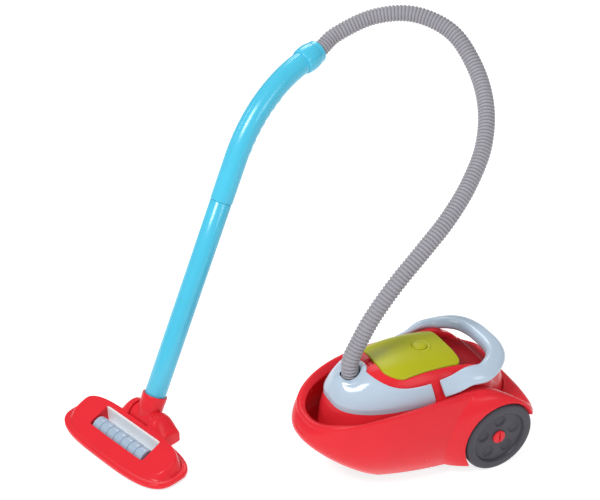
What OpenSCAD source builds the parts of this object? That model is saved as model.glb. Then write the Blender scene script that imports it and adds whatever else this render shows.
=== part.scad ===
// Toy canister vacuum cleaner with a ribbed hose, a bent wand and a floor head.
// Millimetres, +Z up. The canister's front faces -Y and its left side is +X.

/* [Stance] */
// Middle of the canister's rear axle, sideways
canister_x = 94.8; // [80:0.1:110]
// Middle of the canister's rear axle, front to back
canister_y = 189.1; // [170:0.1:210]
// Middle of the floor head's window, sideways
head_x = -51.2; // [-70:0.1:-40]
// Middle of the floor head's window, front to back
head_y = -190.9; // [-210:0.1:-170]
// Turn of the floor head seen from above, degrees
head_yaw = 20; // [0:1:40]

/* [Dome] */
// Half the width of the dome
dome_half = 66; // [62:0.5:70]
// Length of the dome before its widest point
dome_nose = 118; // [112:1:124]
// Length of the dome behind its widest point
dome_tail = 118; // [112:1:124]
// Height of the crown over the floor
dome_top = 144.5; // [138:0.5:152]
// Height of the dome's widest line
belly_z = 60; // [54:1:64]
// Underside of the dome, where the base plate is fastened
base_z = 20; // [18:0.5:24]
// Lift of the shoulders that carry the handle
shoulder_rise = 21; // [16:0.5:24]

/* [Skirt] */
// Reach of the skirt's upper rim beyond the dome
rim_out = 4; // [2:0.5:8]
// Height of the rim beside the lid
rim_z = 111; // [106:1:114]
// Drop of the rim towards the front loop
rim_dip = 19; // [12:1:24]
// Reach of the skirt at its fullest beyond the dome
skirt_out = 11; // [9:0.5:12]
// Wall of the skirt
skirt_wall = 5; // [4:0.5:7]
// Lower edge of the skirt over the floor
skirt_z = 17; // [15:0.5:20]
// Lift of the loop's lower edge
loop_lift = 38; // [28:1:44]
// Finger space between the loop and the dome
loop_gap = 22; // [18:1:26]
// Width of the flared band round a wheel
flare_w = 22; // [16:1:26]

/* [Wheels] */
// Diameter of a rear wheel
wheel_d = 90; // [80:1:96]
// Width of a rear wheel
wheel_w = 24; // [20:1:26]
// Reach of a rear wheel's outer face beyond the dome
wheel_out = 16; // [14:0.5:20]
// Diameter of the axle pins
axle_d = 10; // [8:0.5:12]
// Space between a wheel and its arch
arch_gap = 2.5; // [2:0.5:3.5]
// Side clearance of turning parts
side_gap = 0.4; // [0.3:0.05:0.8]
// Radial clearance of turning parts
turn_gap = 0.06; // [0.03:0.01:0.1]

/* [Caster] */
// Swivel axis of the caster from the rear axle
caster_y = -110; // [-112:1:-100]
// Diameter of the caster wheel
caster_d = 20; // [18:0.5:22]
// Trail of the caster wheel behind its swivel axis
caster_trail = 8; // [5:0.5:9]

/* [Lid] */
// Rear edge of the lid
lid_rear = -30.5; // [-34:0.5:-28]
// Front edge of the lid
lid_front = -120; // [-123:0.5:-114]
// Half the width of the lid at the front
lid_half = 38; // [34:0.5:40]
// Forward bow of the lid's front edge
lid_bow = 9; // [4:0.5:10]
// Thickness of the lid
lid_t = 2.6; // [2:0.1:3]
// Gap round the lid
lid_gap = 0.5; // [0.4:0.1:1]
// Floor of the compartment under the lid
pocket_z = 88; // [86:1:100]
// Diameter of the lid's hinge pin
pin_d = 4; // [3:0.1:5]
// Middle of the push button
button_y = -65; // [-70:1:-60]
// Diameter of the push button
button_d = 18; // [16:0.5:20]
// Travel of the push button
button_travel = 2.5; // [2:0.1:3]

/* [Handle] */
// Width of the handle
handle_w = 22.5; // [19:0.5:24]
// Thickness of the handle
handle_t = 16; // [12:0.5:18]
// Middle of the handle's bar behind the axle
bar_y = 24; // [20:1:30]
// Height of the handle's bar
bar_z = 128; // [122:0.5:132]

/* [Hose] */
// Middle of the hose socket
socket_y = -155; // [-158:0.5:-150]
// Height of the socket's level lip
socket_z = 131; // [128:0.5:133]
// Diameter over the ribs
hose_d = 20; // [18:0.5:21]
// Bore of the hose
hose_bore = 14; // [12:0.5:15]
// Depth of the grooves between ribs
rib_depth = 1.5; // [1:0.1:2]
// Number of ribs
hose_ribs = 160; // [100:1:200]

/* [Wand] */
// Pivot of the wand behind the window's middle
neck_y = 35; // [32:0.5:38]
// Height of the wand's pivot
neck_z = 24; // [22:0.5:26]
// Lean of the wand, degrees
wand_lean = 28.5; // [20:0.5:40]
// Outer diameter of the wand tube
tube_d = 26.4; // [24:0.2:28]
// Outer diameter of the tube's narrow end inside the grip
spigot_d = 22.4; // [20:0.2:23]
// Bore of the wand tube
tube_bore = 18.6; // [14:0.2:19]
// Distance from the pivot to the grip
grip_at = 280; // [240:1:320]
// Distance from the pivot to the bend
bend_at = 335; // [310:1:350]
// Radius of the bend
bend_r = 178; // [160:1:200]
// Angle of the bend
bend_a = 46; // [35:1:55]
// Outer diameter of the grip
grip_d = 27.6; // [27:0.2:30]
// Depth of the finger ridges
ridge = 2; // [1:0.1:3]

/* [Floor head] */
// Half the length of the head
head_half = 97; // [92:1:102]
// Front of the head before the window's middle
head_front = 39; // [36:1:42]
// Rear of the head's cover behind the window's middle
head_back = 33; // [31:0.5:36]
// Thickness of the sole
sole_t = 4; // [3:0.5:5]
// Length of the window
window_l = 100; // [90:1:104]
// Width of the window
window_w = 30; // [27:0.5:31]
// Diameter of the roller
roller_d = 21; // [19:0.5:22]
// Middle of the roller before the window's middle
roller_y = -4; // [-5:0.5:-3]

/* [Hidden] */
$fn = 64;
red = [0.91, 0.2, 0.22];
lime = [0.72, 0.73, 0.16];
pale = [0.74, 0.81, 0.88];
blue = [0.34, 0.74, 0.88];
grey = [0.62, 0.61, 0.65];
dark = [0.28, 0.28, 0.31];
steel = [0.7, 0.7, 0.72];
fit = 0.05;
dome_y = -70;
dome_n = 2.3;
crown_y = -90;
crown_len = 100;
rear_fall = 0.0019;
tail_fall = 0.012;
rim_half = dome_half + rim_out;
skirt_half = dome_half + skirt_out;
wheel_face = dome_half + wheel_out;
arm_x = dome_half - 15;
arm_gap = 1.4;
rim_nose = dome_nose + 27;
rim_tail = dome_tail + 10;
full_y = dome_y + 25;
full_nose = dome_nose + 58;
full_tail = dome_tail - 26;
foot_y = dome_y + 40;
foot_nose = dome_nose + 54;
foot_tail = dome_tail - 52;
foot_in = 9;
wheel_r = wheel_d / 2;
wheel_in = wheel_face - wheel_w;
axle_r = axle_d / 2;
boss_end = wheel_in - side_gap;
arch_r = wheel_r + arch_gap;
fender_t = 3.6;
arch_x = wheel_in - 3.4;
hub_x = wheel_face - 3.2;
trim_lift = 2.2;
rim_groove = 5.5;
trim_z = rim_z - 2;
trim_boss = 8.5;
lid_rear_half = lid_half - 1.5;
hinge_y = lid_rear - 3.5;
hinge_z = roof(lid_rear_half + 3, hinge_y, 0) - 7.5;
knuckle_r = pin_d / 2 + 1.4;
swing_r = 8;
pin_half = lid_rear_half + 3.4;
lid_corner = 16;
lid_tail = 7;
lid_mid = -80;
button_z = roof(0, button_y, 0);
cup_r = button_d / 2 + 2;
button_foot = 7.2;
spring_h = button_travel + 5.3;
cup_floor = button_foot + spring_h;
cuff_r = hose_d / 2 + 2.5;
socket_r = cuff_r + 2;
cuff_z = socket_z - 27;
seat_z = cuff_z + 6;
hose_fit = 0.15;
tube_r = tube_d / 2;
spigot_r = spigot_d / 2;
sleeve_r = tube_r + 2.4;
grip_r = grip_d / 2;
tail_l = 14;
scoop_r = handle_w;
recess_y = bar_y - scoop_r / 2;
grip_end = bend_at + bend_r * bend_a * PI / 180 + tail_l;
hose_start = grip_end + 2.5;
barrel_half = 18;
cheek_in = barrel_half + side_gap;
cheek_out = 31;
cheek_end = 42;
roller_r = roller_d / 2;
roller_z = roller_r + 0.4;
roller_half = window_l / 2 - 4;
bay_front = min(-window_w / 2, roller_y - roller_r - 1);
lining_t = 2.2;
screw_r = 1.5;

function clip(t) = min(1, max(0, t));
function smooth(t) = let (u = clip(t)) u * u * (3 - 2 * u);
function spow(v, e) = sign(v) * pow(abs(v), e);
function mean(v) = [for (p = v) 1] * v / len(v);
function unit(v) = v / norm(v);

// Height of the dome's middle line: a superellipse over the nose, a slow fall behind the crown
// and a quicker one behind the axle.
function crown(y, off) = y < crown_y
  ? (dome_top + off - belly_z) * pow(max(0, 1 - pow(abs(y - crown_y) / (crown_len + off), 2.5)), 0.4)
  : dome_top + off - belly_z - rear_fall * pow(y - crown_y, 2) - tail_fall * pow(max(0, y), 2);
function dome_w(y, off) = (dome_half + off)
  * pow(max(0, 1 - pow(abs(y - dome_y) / ((y < dome_y ? dome_nose : dome_tail) + off), dome_n)), 1 / dome_n);
function shoulder(x, y) = shoulder_rise * exp(-pow((abs(x) - arm_x) / 9, 2))
  * smooth((y - dome_y - 4) / 61) * (1 - smooth((y + 2) / 24));
function roof(x, y, off) = belly_z + shoulder(x, y)
  + crown(y, off) * pow(max(0, 1 - pow(abs(x) / max(dome_w(y, off), 0.01), 4)), 0.94);
// Point of the dome's plan at angle a from the front and share r of its size.
function dome_pt(a, r) = [dome_half * r * spow(sin(a), 2 / dome_n),
  dome_y - (cos(a) > 0 ? dome_nose : dome_tail) * r * spow(cos(a), 2 / dome_n)];
// Share of the plan at which the dome crosses height z, by halving.
function level_r(a, z, off, lo = 0.72, hi = 1.02, k = 14) =
  let (m = (lo + hi) / 2, p = dome_pt(a, m))
  k == 0 ? m : roof(p.x, p.y, off) > z ? level_r(a, z, off, m, hi, k - 1) : level_r(a, z, off, lo, m, k - 1);

// Three plans of the skirt and the heights of its upper and lower edges.
function plan(a, half, mid, nose, tail, n, m) =
  let (e = cos(a) > 0 ? 2 / n : 2 / m)
  [half * spow(sin(a), e), mid - (cos(a) > 0 ? nose : tail) * spow(cos(a), e)];
function rim_pt(a) = plan(a, rim_half, dome_y, rim_nose, rim_tail, 2.5, 6);
function full_pt(a, in) = plan(a, skirt_half - in, full_y, full_nose - in, full_tail - in, 2.2, 5);
function foot_pt(a, in) = plan(a, skirt_half - foot_in - in, foot_y, foot_nose - in, foot_tail - in, 1.8, 3);
function over_arch(y) = wheel_r + sqrt(max(0, pow(arch_r + fender_t, 2) - y * y));
function rim_h(y) = max(over_arch(y), rim_z - rim_dip * pow(clip((dome_y - y) / rim_nose), 3)
  - 6 * clip((y - dome_y) / 45) - 36 * pow(clip((y - dome_y - 45) / 75), 2.2));
function foot_h(y) = skirt_z + loop_lift * pow(clip((foot_y - foot_nose + 62 - y) / 62), 1.6);
function inner_h(y) = rim_h(y) + 6 * clip((y - dome_y) / 45)
  - rim_groove * smooth((y - dome_y + dome_nose + 17) / 35) * (1 - smooth((y - dome_y) / 45));
// Reach of the dome from its middle along direction d, and the place on it at height z, by halving.
function dome_reach(d) = pow(pow(abs(d.x) / dome_half, dome_n)
  + pow(abs(d.y) / (d.y < 0 ? dome_nose : dome_tail), dome_n), -1 / dome_n);
function level_on(d, z, lo, hi, k = 14) =
  let (m = (lo + hi) / 2)
  k == 0 ? m
    : roof(d.x * m, dome_y + d.y * m, 0) > z ? level_on(d, z, m, hi, k - 1) : level_on(d, z, lo, m, k - 1);
function inner_pt(a, drop, gap) =
  let (r = rim_pt(a), d = unit(r - [0, dome_y]), e = dome_reach(d))
  [0, dome_y] + d * (level_on(d, inner_h(r.y) - drop, 0.72 * e, e) + gap
    + loop_gap * pow(max(0, cos(a)), 1.2));
// Outward push of the fender near its arch, which ends level with the wheel's face.
function fender(p, in = 0) = let (d = max(0, norm([p.y, p.z - wheel_r]) - arch_r))
  [sign(p.x) * max(0, wheel_face - in - abs(p.x)) * pow(max(0, 1 - d / flare_w), 1.5)
    * smooth((abs(p.x) - 40) / 25) * (p.y > 0 ? smooth((p.z - wheel_r - 6) / 14) : 1), 0, 0];
function pushed(p) = p + fender(p, skirt_wall);
// Outer skin: a parabola through the foot, the fullest line and the rim; k runs from 0 to 1.
function skin(a, k) =
  let (f = foot_pt(a, 0), m = full_pt(a, 0), r = rim_pt(a), zr = rim_h(r.y) - 3, zf = foot_h(f.y),
    zm = 0.45 * zr + 0.55 * zf, w0 = (1 - k) * (1 - 2 * k), w1 = 4 * k * (1 - k), w2 = k * (2 * k - 1))
  let (p = [f.x, f.y, zf] * w0 + [m.x, m.y, zm] * w1 + [r.x, r.y, zr] * w2) p + fender(p);
function skirt_section(a) =
  let (r = rim_pt(a), i = inner_pt(a, 1.5, 0.8), j = inner_pt(a, 9, 2.4), zr = rim_h(r.y), zi = inner_h(r.y),
    m = full_pt(a, skirt_wall - 1),
    f = foot_pt(a, skirt_wall), zf = foot_h(foot_pt(a, 0).y), zm = 0.45 * zr + 0.55 * zf)
  concat([for (k = [0:8]) skin(a, k / 8)],
    [for (t = [[0.12, 0.4], [0.45, 1.8], [0.85, 0.4]])
      let (p = [each (r + (i - r) * t[0]), zr + (zi - zr) * t[0] + t[1]]) p + fender(p) * (1 - t[0])],
    [[i.x, i.y, zi - 1.5], [j.x, j.y, zi - 9], pushed([m.x, m.y, zm]), pushed([f.x, f.y, zf])]);

// Turns of the sections, closer together along the fenders and at the tail.
skirt_half_turns = concat([for (k = [0:16]) k * 5], [82.5, 85, 87.5, 90],
  [for (k = [1:13]) acos(-pow(k / 14, 2.2))], [156, 164, 172, 176, 178.5, 179.8]);
skirt_turns = concat(skirt_half_turns, [180],
  [for (k = [len(skirt_half_turns) - 1:-1:1]) 360 - skirt_half_turns[k]]);

// Skin through rings of points. Rings run clockwise seen from the end they climb to.
module loft(rings, loop = false, lo = undef, hi = undef) {
  m = len(rings);
  n = len(rings[0]);
  sides = [for (i = [0:loop ? m - 1 : m - 2]) for (j = [0:n - 1])
    let (p = (i + 1) % m, q = (j + 1) % n)
    each [[i * n + j, i * n + q, p * n + q], [i * n + j, p * n + q, p * n + j]]];
  ends = loop ? [] : [for (j = [0:n - 1]) let (q = (j + 1) % n)
    each [[m * n, q, j], [m * n + 1, (m - 1) * n + j, (m - 1) * n + q]]];
  tips = loop ? [] : [is_undef(lo) ? mean(rings[0]) : lo, is_undef(hi) ? mean(rings[m - 1]) : hi];
  polyhedron(concat([for (r = rings) each r], tips), concat(sides, ends), convexity = 10);
}

// Solid between two sheets of points; rows run along X and columns along Y seen from above.
module slab(top, low) {
  m = len(top);
  n = len(top[0]);
  s = m * n;
  faces = concat(
    [for (i = [0:m - 2]) for (j = [0:n - 2])
      let (a = i * n + j, b = a + 1, c = a + n + 1, d = a + n)
      each [[a, b, c], [a, c, d], [s + a, s + c, s + b], [s + a, s + d, s + c]]],
    [for (i = [0:m - 2]) let (a = i * n, d = a + n)
      each [[a, d, s + d], [a, s + d, s + a]]],
    [for (i = [0:m - 2]) let (b = i * n + n - 1, c = b + n)
      each [[c, b, s + b], [c, s + b, s + c]]],
    [for (j = [0:n - 2]) each [[j + 1, j, s + j], [j + 1, s + j, s + j + 1]]],
    [for (j = [0:n - 2]) let (d = (m - 1) * n + j, c = d + 1)
      each [[d, c, s + c], [d, s + c, s + d]]]);
  polyhedron(concat([for (r = top) each r], [for (r = low) each r]), faces, convexity = 10);
}

module canister() {
  translate([canister_x, canister_y, 0])
    children();
}

module floor_head() {
  translate([head_x, head_y, 0])
    rotate([0, 0, head_yaw])
      children();
}

// Local Z runs up the wand from its pivot.
module wand() {
  floor_head()
    translate([0, neck_y, neck_z])
      rotate([-wand_lean, 0, 0])
        children();
}

module both() {
  children();
  mirror([1, 0, 0])
    children();
}

// Cylinder along X between two stations.
module bar_x(x0, x1, r) {
  translate([x0, 0, 0])
    rotate([0, 90, 0])
      cylinder(r = r, h = x1 - x0);
}

module at_axle() {
  translate([0, 0, wheel_r])
    children();
}

module arches() {
  both()
    at_axle()
      bar_x(arch_x, 120, arch_r);
}

module rounded(x, y0, y1, r) {
  polygon([for (c = [[x - r, y1 - r, 0], [r - x, y1 - r, 90], [r - x, y0 + r, 180], [x - r, y0 + r, 270]])
    for (t = [0:15:90]) [c.x + r * cos(c.z + t), c.y + r * sin(c.z + t)]]);
}

// Outline of the lid grown by g: rows of [y, half width] from the rear edge to the front.
function corner(t, r) = t < r ? r - sqrt(max(0, r * r - pow(r - t, 2))) : 0;
function lid_row(y, g) = lid_rear_half + (lid_half - lid_rear_half) * clip((lid_rear - y) / 80) + g
  - corner(y - lid_front + g, lid_corner + g) - corner(lid_rear + g - y, lid_tail + g);
function lid_rows(g) =
  let (r = lid_corner + g, f = lid_front - g, e = lid_rear + g, q = lid_tail + g)
  concat([for (t = [0:18:90]) f + r * (1 - cos(t))],
    [for (k = [1:5]) f + r + (e - q - f - r) * k / 6],
    [for (t = [90:-30:0]) e - q * (1 - cos(t))]);
// Forward bend of the front half, greatest in the middle.
function lid_bend(x, y) =
  lid_bow * clip((lid_mid - y) / (lid_mid - lid_front)) * max(0, 1 - pow(x / lid_half, 2));
function lid_sheet(g, dz) =
  [for (u = [-6:6]) [for (y = lid_rows(g)) let (x = lid_row(y, g) * u / 6, v = y - lid_bend(x, y))
    [x, v, roof(x, v, 0) + dz]]];

// Stations of the handle's left half: middle, upward direction, width and thickness.
function arm_pt(y, t, tilt) =
  [arm_x + sin(tilt) * (t / 2 + arm_gap), y, roof(arm_x, y, 0) + cos(tilt) * (t / 2 + arm_gap) + 1.2];
handle_path = [arm_pt(-66, 4.5, 54), arm_pt(-50, 7, 52), arm_pt(-32, 11, 45), arm_pt(-12, 14, 35),
  [arm_x - 4, bar_y - 18, bar_z - 1], [arm_x - 16, bar_y - 7, bar_z], [arm_x - 33, bar_y - 1, bar_z],
  [0, bar_y, bar_z]];
handle_size = [[handle_w - 2.5, 4.5, 54], [handle_w - 1.5, 7, 52], [handle_w - 0.5, 11, 45],
  [handle_w, 14, 35],
  [handle_w, handle_t, 16], [handle_w, handle_t, 10], [handle_w, handle_t, 8], [handle_w, handle_t, 8]];
function mirrored(v) = concat(v, [for (k = [len(v) - 2:-1:0]) [-v[k].x, v[k].y, v[k].z]]);
function echoed(v) = concat(v, [for (k = [len(v) - 2:-1:0]) v[k]]);
// Smooth curve through a list of points at place u, with u = 0 at the first of them.
function spline(v, u) =
  let (n = len(v), k = min(n - 2, max(0, floor(u))), t = u - k, a = v[max(0, k - 1)], b = v[k], c = v[k + 1],
    d = v[min(n - 1, k + 2)])
  b + (c - a) * t / 2 + (a * 2 - b * 5 + c * 4 - d) * t * t / 2 + (b * 3 - a - c * 3 + d) * t * t * t / 2;
handle_all = mirrored(handle_path);
handle_sizes = echoed(handle_size);
function handle_ring(u) =
  let (c = spline(handle_all, u), t = unit(spline(handle_all, u + 0.02) - spline(handle_all, u - 0.02)),
    s = spline(handle_sizes, u), side = unit(cross(t, [0, 0, 1])), up = cross(side, t),
    n = up * cos(s.z) + side * sin(s.z), w = cross(n, t), e = min(u, len(handle_all) - 1 - u),
    k = e < 0.25 ? 0.55 + 0.45 * sqrt(max(0, 1 - pow(1 - e / 0.25, 2))) : 1)
  [for (j = [0:15])
    c + n * s.y / 2 * k * spow(cos(j * 22.5), 0.8) + w * s.x / 2 * k * spow(sin(j * 22.5), 0.8)];

module skirt() {
  color(red)
    canister()
      difference() {
        loft([for (a = skirt_turns) skirt_section(a)], true);
        arches();
      }
}

module lid_hollow() {
  slab(lid_sheet(lid_gap, 14), lid_sheet(lid_gap, -lid_t - 0.4));
  translate([0, 0, pocket_z])
    linear_extrude(80)
      rounded(lid_rear_half - 4, lid_front + 6, hinge_y - 4, 8);
  translate([0, hinge_y, hinge_z])
    bar_x(-lid_rear_half - lid_gap, lid_rear_half + lid_gap, swing_r);
  translate([0, 0, hinge_z - 12])
    linear_extrude(60)
      rounded(lid_rear_half + lid_gap, hinge_y - swing_r, recess_y, 1.5);
}

post_list = [[34, -100], [-34, -100], [34, -22], [-34, -22]];

module under_hollow() {
  difference() {
    translate([0, 0, base_z - 1])
      linear_extrude(pocket_z - 4 - base_z)
        rounded(36, -138, -8, 14);
    for (p = post_list)
      translate([p.x, p.y, 0])
        cylinder(r = 5, h = 120);
  }
}

module upper_shell() {
  low = [[base_z, 0.72], [40, 0.9], [belly_z, 1]];
  high = [0.996, 0.985, 0.96, 0.92, 0.86, 0.8, 0.74, 0.66, 0.54, 0.38, 0.18];
  rings = concat(
    [for (s = low) [for (j = [0:59]) let (p = dome_pt(-j * 6, s[1])) [p.x, p.y, s[0]]]],
    [for (r = high) [for (j = [0:59]) let (p = dome_pt(-j * 6, r)) [p.x, p.y, roof(p.x, p.y, 0)]]]);
  color(red)
    canister()
      difference() {
        union() {
          difference() {
            loft(rings, false, undef, [0, dome_y, roof(0, dome_y, 0)]);
            arches();
            under_hollow();
          }
          both()
            at_axle()
              bar_x(36, boss_end, 9);
        }
        lid_hollow();
        both()
          at_axle()
            bar_x(30, 90, axle_r + fit);
        translate([0, hinge_y, hinge_z])
          bar_x(-pin_half - 0.3, pin_half + 0.3, pin_d / 2 + fit);
        translate([0, socket_y, cuff_z - side_gap])
          cylinder(r = socket_r + fit, h = 80);
        translate([0, lid_front - lid_bow - 1.5, roof(0, lid_front - lid_bow, 0) + 2.5])
          bar_x(-5, 5, 6);
        translate([0, bar_y, bar_z])
          bar_x(-34, 34, scoop_r);
        for (p = post_list)
          translate([p.x, p.y, 0])
            cylinder(r = screw_r + fit, h = base_z + 14);
      }
}

module base_plate() {
  color(dark)
    canister()
      difference() {
        union() {
          translate([0, 0, base_z - 3])
            linear_extrude(3)
              polygon([for (i = [0:63]) dome_pt(i * 5.625, 0.84)]);
          translate([0, caster_y, base_z - 3])
            cylinder(r = 25, h = 11);
          translate([0, caster_y, base_z])
            cylinder(r = 8, h = 23);
        }
        translate([0, caster_y, base_z - 4])
          cylinder(r = 22.6, h = 9);
        translate([0, caster_y, 0])
          cylinder(r = 4 + turn_gap, h = 60);
        for (p = post_list)
          translate([p.x, p.y, 0])
            cylinder(r = screw_r + fit, h = 40);
        both()
          translate([arch_x - 0.2, -60, 0])
            cube([60, 120, 40]);
      }
}

module screw(l) {
  rotate_extrude()
    polygon([[0, -1.8], [2.2, -1.8], [3, -0.8], [3, 0], [screw_r, 0], [screw_r, l - 1], [screw_r - 0.8, l],
      [0, l]]);
}

module base_screws() {
  color(steel)
    canister()
      for (p = post_list)
        translate([p.x, p.y, base_z - 3])
          screw(14);
}

// Outer and inner edges of the trim and its sheet at a lift over the dome.
function trim_in(a) = [(dome_half - 18) * spow(sin(a), 2 / 3),
  dome_y - (dome_nose - 46) * spow(cos(a), 2 / 3)];
function trim_out(a) = dome_pt(a, level_r(a, trim_z, trim_lift));
// Boss in front of the socket, which brings the slope up to the socket's lip.
function trim_rise(x, y) = trim_boss * exp(-pow(x / 16, 2) - pow((y - socket_y + 17) / 9, 2));
function trim_sheet(off, boss) = [for (k = [-22:22]) let (a = k * 4, p = trim_in(a), q = trim_out(a))
  [for (v = [0:8]) let (s = q + (p - q) * v / 8)
    [s.x, s.y, roof(s.x, s.y, off) + boss * trim_rise(s.x, s.y)]]];

module front_trim() {
  color(pale)
    canister()
      difference() {
        slab(trim_sheet(trim_lift, 1), trim_sheet(0.25, 0));
        translate([0, socket_y, 60])
          cylinder(r = socket_r + fit, h = 120);
      }
}

module hose_socket() {
  color(pale)
    canister()
      translate([0, socket_y, 0])
        rotate_extrude()
          polygon([[cuff_r + turn_gap, cuff_z + 4], [socket_r, cuff_z + 4], [socket_r, socket_z - 0.8],
            [socket_r - 0.6, socket_z], [cuff_r + 0.7, socket_z], [cuff_r + turn_gap, socket_z - 0.8]]);
}

module carry_handle() {
  n = len(handle_all) - 1;
  color(pale)
    canister()
      loft([for (u = concat([0, 0.03, 0.08, 0.15, 0.25], [for (k = [1:2 * n - 1]) k / 2],
        [n - 0.25, n - 0.15, n - 0.08, n - 0.03, n])) handle_ring(u)]);
}

module lid() {
  color(lime)
    canister()
      difference() {
        union() {
          slab(lid_sheet(0, 0), lid_sheet(0, -lid_t));
          translate([0, button_y, button_z - lid_t - 3])
            cylinder(r = button_d / 2 + 3.5, h = lid_t + 3.2);
          both()
            translate([20, hinge_y, hinge_z])
              bar_x(0, 9, knuckle_r);
          intersection() {
            both()
              translate([20, hinge_y - 2, hinge_z])
                cube([9, 4, 30]);
            slab(lid_sheet(0, -0.3), lid_sheet(0, -30));
          }
        }
        translate([0, button_y, 0])
          cylinder(r = button_d / 2 + 0.35, h = 200);
        translate([0, hinge_y, hinge_z])
          bar_x(-40, 40, pin_d / 2 + turn_gap);
      }
}

module lid_pin() {
  color(steel)
    canister()
      translate([0, hinge_y, hinge_z])
        bar_x(-pin_half, pin_half, pin_d / 2);
}

module lid_button() {
  r = button_d / 2;
  color(lime)
    canister()
      translate([0, button_y, button_z])
        rotate_extrude()
          polygon([[0, -button_foot], [r + 0.6, -button_foot], [r + 0.6, -lid_t - 3.3], [r, -lid_t - 3.3],
            [r, 0.8], [r - 0.6, 1.4], [r - 1.4, 1.5], [r - 1.8, 2.2], [r - 2.8, 2.6], [0, 3]]);
}

module button_cup() {
  color(dark)
    canister()
      translate([0, button_y, button_z])
        rotate_extrude()
          polygon([[0, -cup_floor - 2], [cup_r + 1.5, -cup_floor - 2], [cup_r + 1.5, -lid_t - 3],
            [cup_r - 1, -lid_t - 3], [cup_r - 1, -cup_floor], [0, -cup_floor]]);
}

module button_spring() {
  color(steel)
    canister()
      translate([0, button_y, button_z - cup_floor])
        difference() {
          cylinder(r = 5, h = spring_h);
          translate([0, 0, -1])
            cylinder(r = 3.8, h = 20);
        }
}

module wheel() {
  r = wheel_r;
  f = wheel_face;
  b = wheel_in;
  color(dark)
    canister()
      at_axle()
        difference() {
          rotate([90, 0, 90])
            rotate_extrude()
              polygon([[axle_r + turn_gap, b], [13, b], [13, f - 14], [r - 8, f - 14], [r - 7, b + 1],
                [r - 2, b], [r, b + 2.5], [r, f - 3.5], [r - 1, f - 1.2], [r - 3, f], [r - 9.5, f],
                [r - 11, f - 0.6], [r - 12, hub_x], [axle_r + turn_gap, hub_x]]);
          for (k = [0:4])
            rotate([k * 72 + 90, 0, 0])
              translate([0, 0, r * 0.49])
                bar_x(hub_x - 3, f + 5, 8.2);
        }
}

module axle_pin() {
  r = axle_r;
  x = hub_x + side_gap;
  color(red)
    canister()
      at_axle()
        difference() {
          rotate([90, 0, 90])
            rotate_extrude()
              polygon([[0, 38], [r - 0.6, 38], [r, 38.6], [r, x], [r + 3, x], [r + 3, x + 1.4],
                [r + 2, x + 2.2], [0, x + 2.6]]);
          translate([x + 1.2, -1, -r - 5])
            cube([5, 2, 2 * r + 10]);
        }
}

module wheel_left() {
  wheel();
}

module wheel_right() {
  translate([2 * canister_x, 0, 0])
    mirror([1, 0, 0])
      wheel();
}

module axle_pin_left() {
  axle_pin();
}

module axle_pin_right() {
  translate([2 * canister_x, 0, 0])
    mirror([1, 0, 0])
      axle_pin();
}

module caster() {
  canister()
    translate([0, caster_y, 0])
      children();
}

module caster_fork() {
  top = base_z + 5 - 0.4;
  color(dark)
    caster()
      difference() {
        union() {
          translate([0, 0, top - 3])
            cylinder(r = 16, h = 3);
          cylinder(r = 4, h = base_z + 26);
          translate([0, 0, base_z + 23.4])
            cylinder(r = 5, h = 2);
          both()
            translate([6.6, 0, 0])
              rotate([90, 0, 90])
                linear_extrude(2.6) {
                  translate([caster_trail, caster_d / 2])
                    circle(r = 4.5);
                  translate([caster_trail - 4.5, caster_d / 2])
                    square([9, top - 1 - caster_d / 2]);
                }
        }
        translate([0, 0, -1])
          cylinder(r = 6, h = top - 2);
        translate([0, caster_trail, caster_d / 2])
          bar_x(-20, 20, 2 + fit);
      }
}

module caster_wheel() {
  r = caster_d / 2;
  color(dark)
    caster()
      translate([0, caster_trail, r])
        rotate([90, 0, 90])
          rotate_extrude()
            polygon([[2 + turn_gap, -6.2], [r - 1.5, -6.2], [r, -4.7], [r, 4.7], [r - 1.5, 6.2],
              [2 + turn_gap, 6.2]]);
}

module caster_axle() {
  color(steel)
    caster()
      translate([0, caster_trail, caster_d / 2])
        bar_x(-10, 10, 2);
}

module hose_cuff() {
  z = cuff_z;
  b = hose_d / 2 + hose_fit;
  color(dark)
    canister()
      translate([0, socket_y, 0])
        rotate_extrude()
          polygon([[hose_bore / 2, z], [cuff_r + 1.5, z], [cuff_r + 1.5, z + 3.6], [cuff_r, z + 3.6],
            [cuff_r, socket_z - 2.6], [cuff_r - 0.6, socket_z - 2], [b, socket_z - 2], [b, seat_z],
            [hose_bore / 2, seat_z]]);
}

// Place on the wand's middle line at distance d from the pivot, in the wand's own frame.
function wand_pt(d) =
  let (a = min(bend_a, max(0, (d - bend_at) / bend_r * 180 / PI)), s = d - bend_at - a * bend_r * PI / 180)
  [0, bend_r * (1 - cos(a)), min(d, bend_at) + bend_r * sin(a)]
    + (d > bend_at ? max(0, s) : 0) * [0, sin(a), cos(a)];
function wand_turn(d) = min(bend_a, max(0, (d - bend_at) / bend_r * 180 / PI));
function to_floor(p) =
  let (y = neck_y + p.y * cos(wand_lean) + p.z * sin(wand_lean), z = neck_z + p.z * cos(wand_lean)
    - p.y * sin(wand_lean))
  [head_x + p.x * cos(head_yaw) - y * sin(head_yaw), head_y + p.x * sin(head_yaw) + y * cos(head_yaw), z];

// Middle line of the hose: straight ends square to the cuff and the collar, and a free route between them.
socket_at = [canister_x, canister_y + socket_y, 0];
hose_free = [[0, -146, 170], [0, -128, 201], [-3, -98, 234], [-10, -62, 262], [-22, -23, 288], [-41, 15, 315],
  [-67, 49, 345], [-102, 72, 378], [-144, 81, 410], [-187, 74, 439], [-228, 46, 452],
  [-256, 6, 446], [-266, -38, 428]];
hose_route = concat([for (h = [0, 21, 40]) socket_at + [0, 0, seat_z + h]],
  [for (p = hose_free) p + [canister_x, canister_y, 0]],
  [for (d = [21, 0]) to_floor(wand_pt(hose_start + d))]);
hose_steps = (len(hose_route) - 1) * 10;
hose_fine = [for (k = [0:hose_steps]) spline(hose_route, k / 10)];
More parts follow.
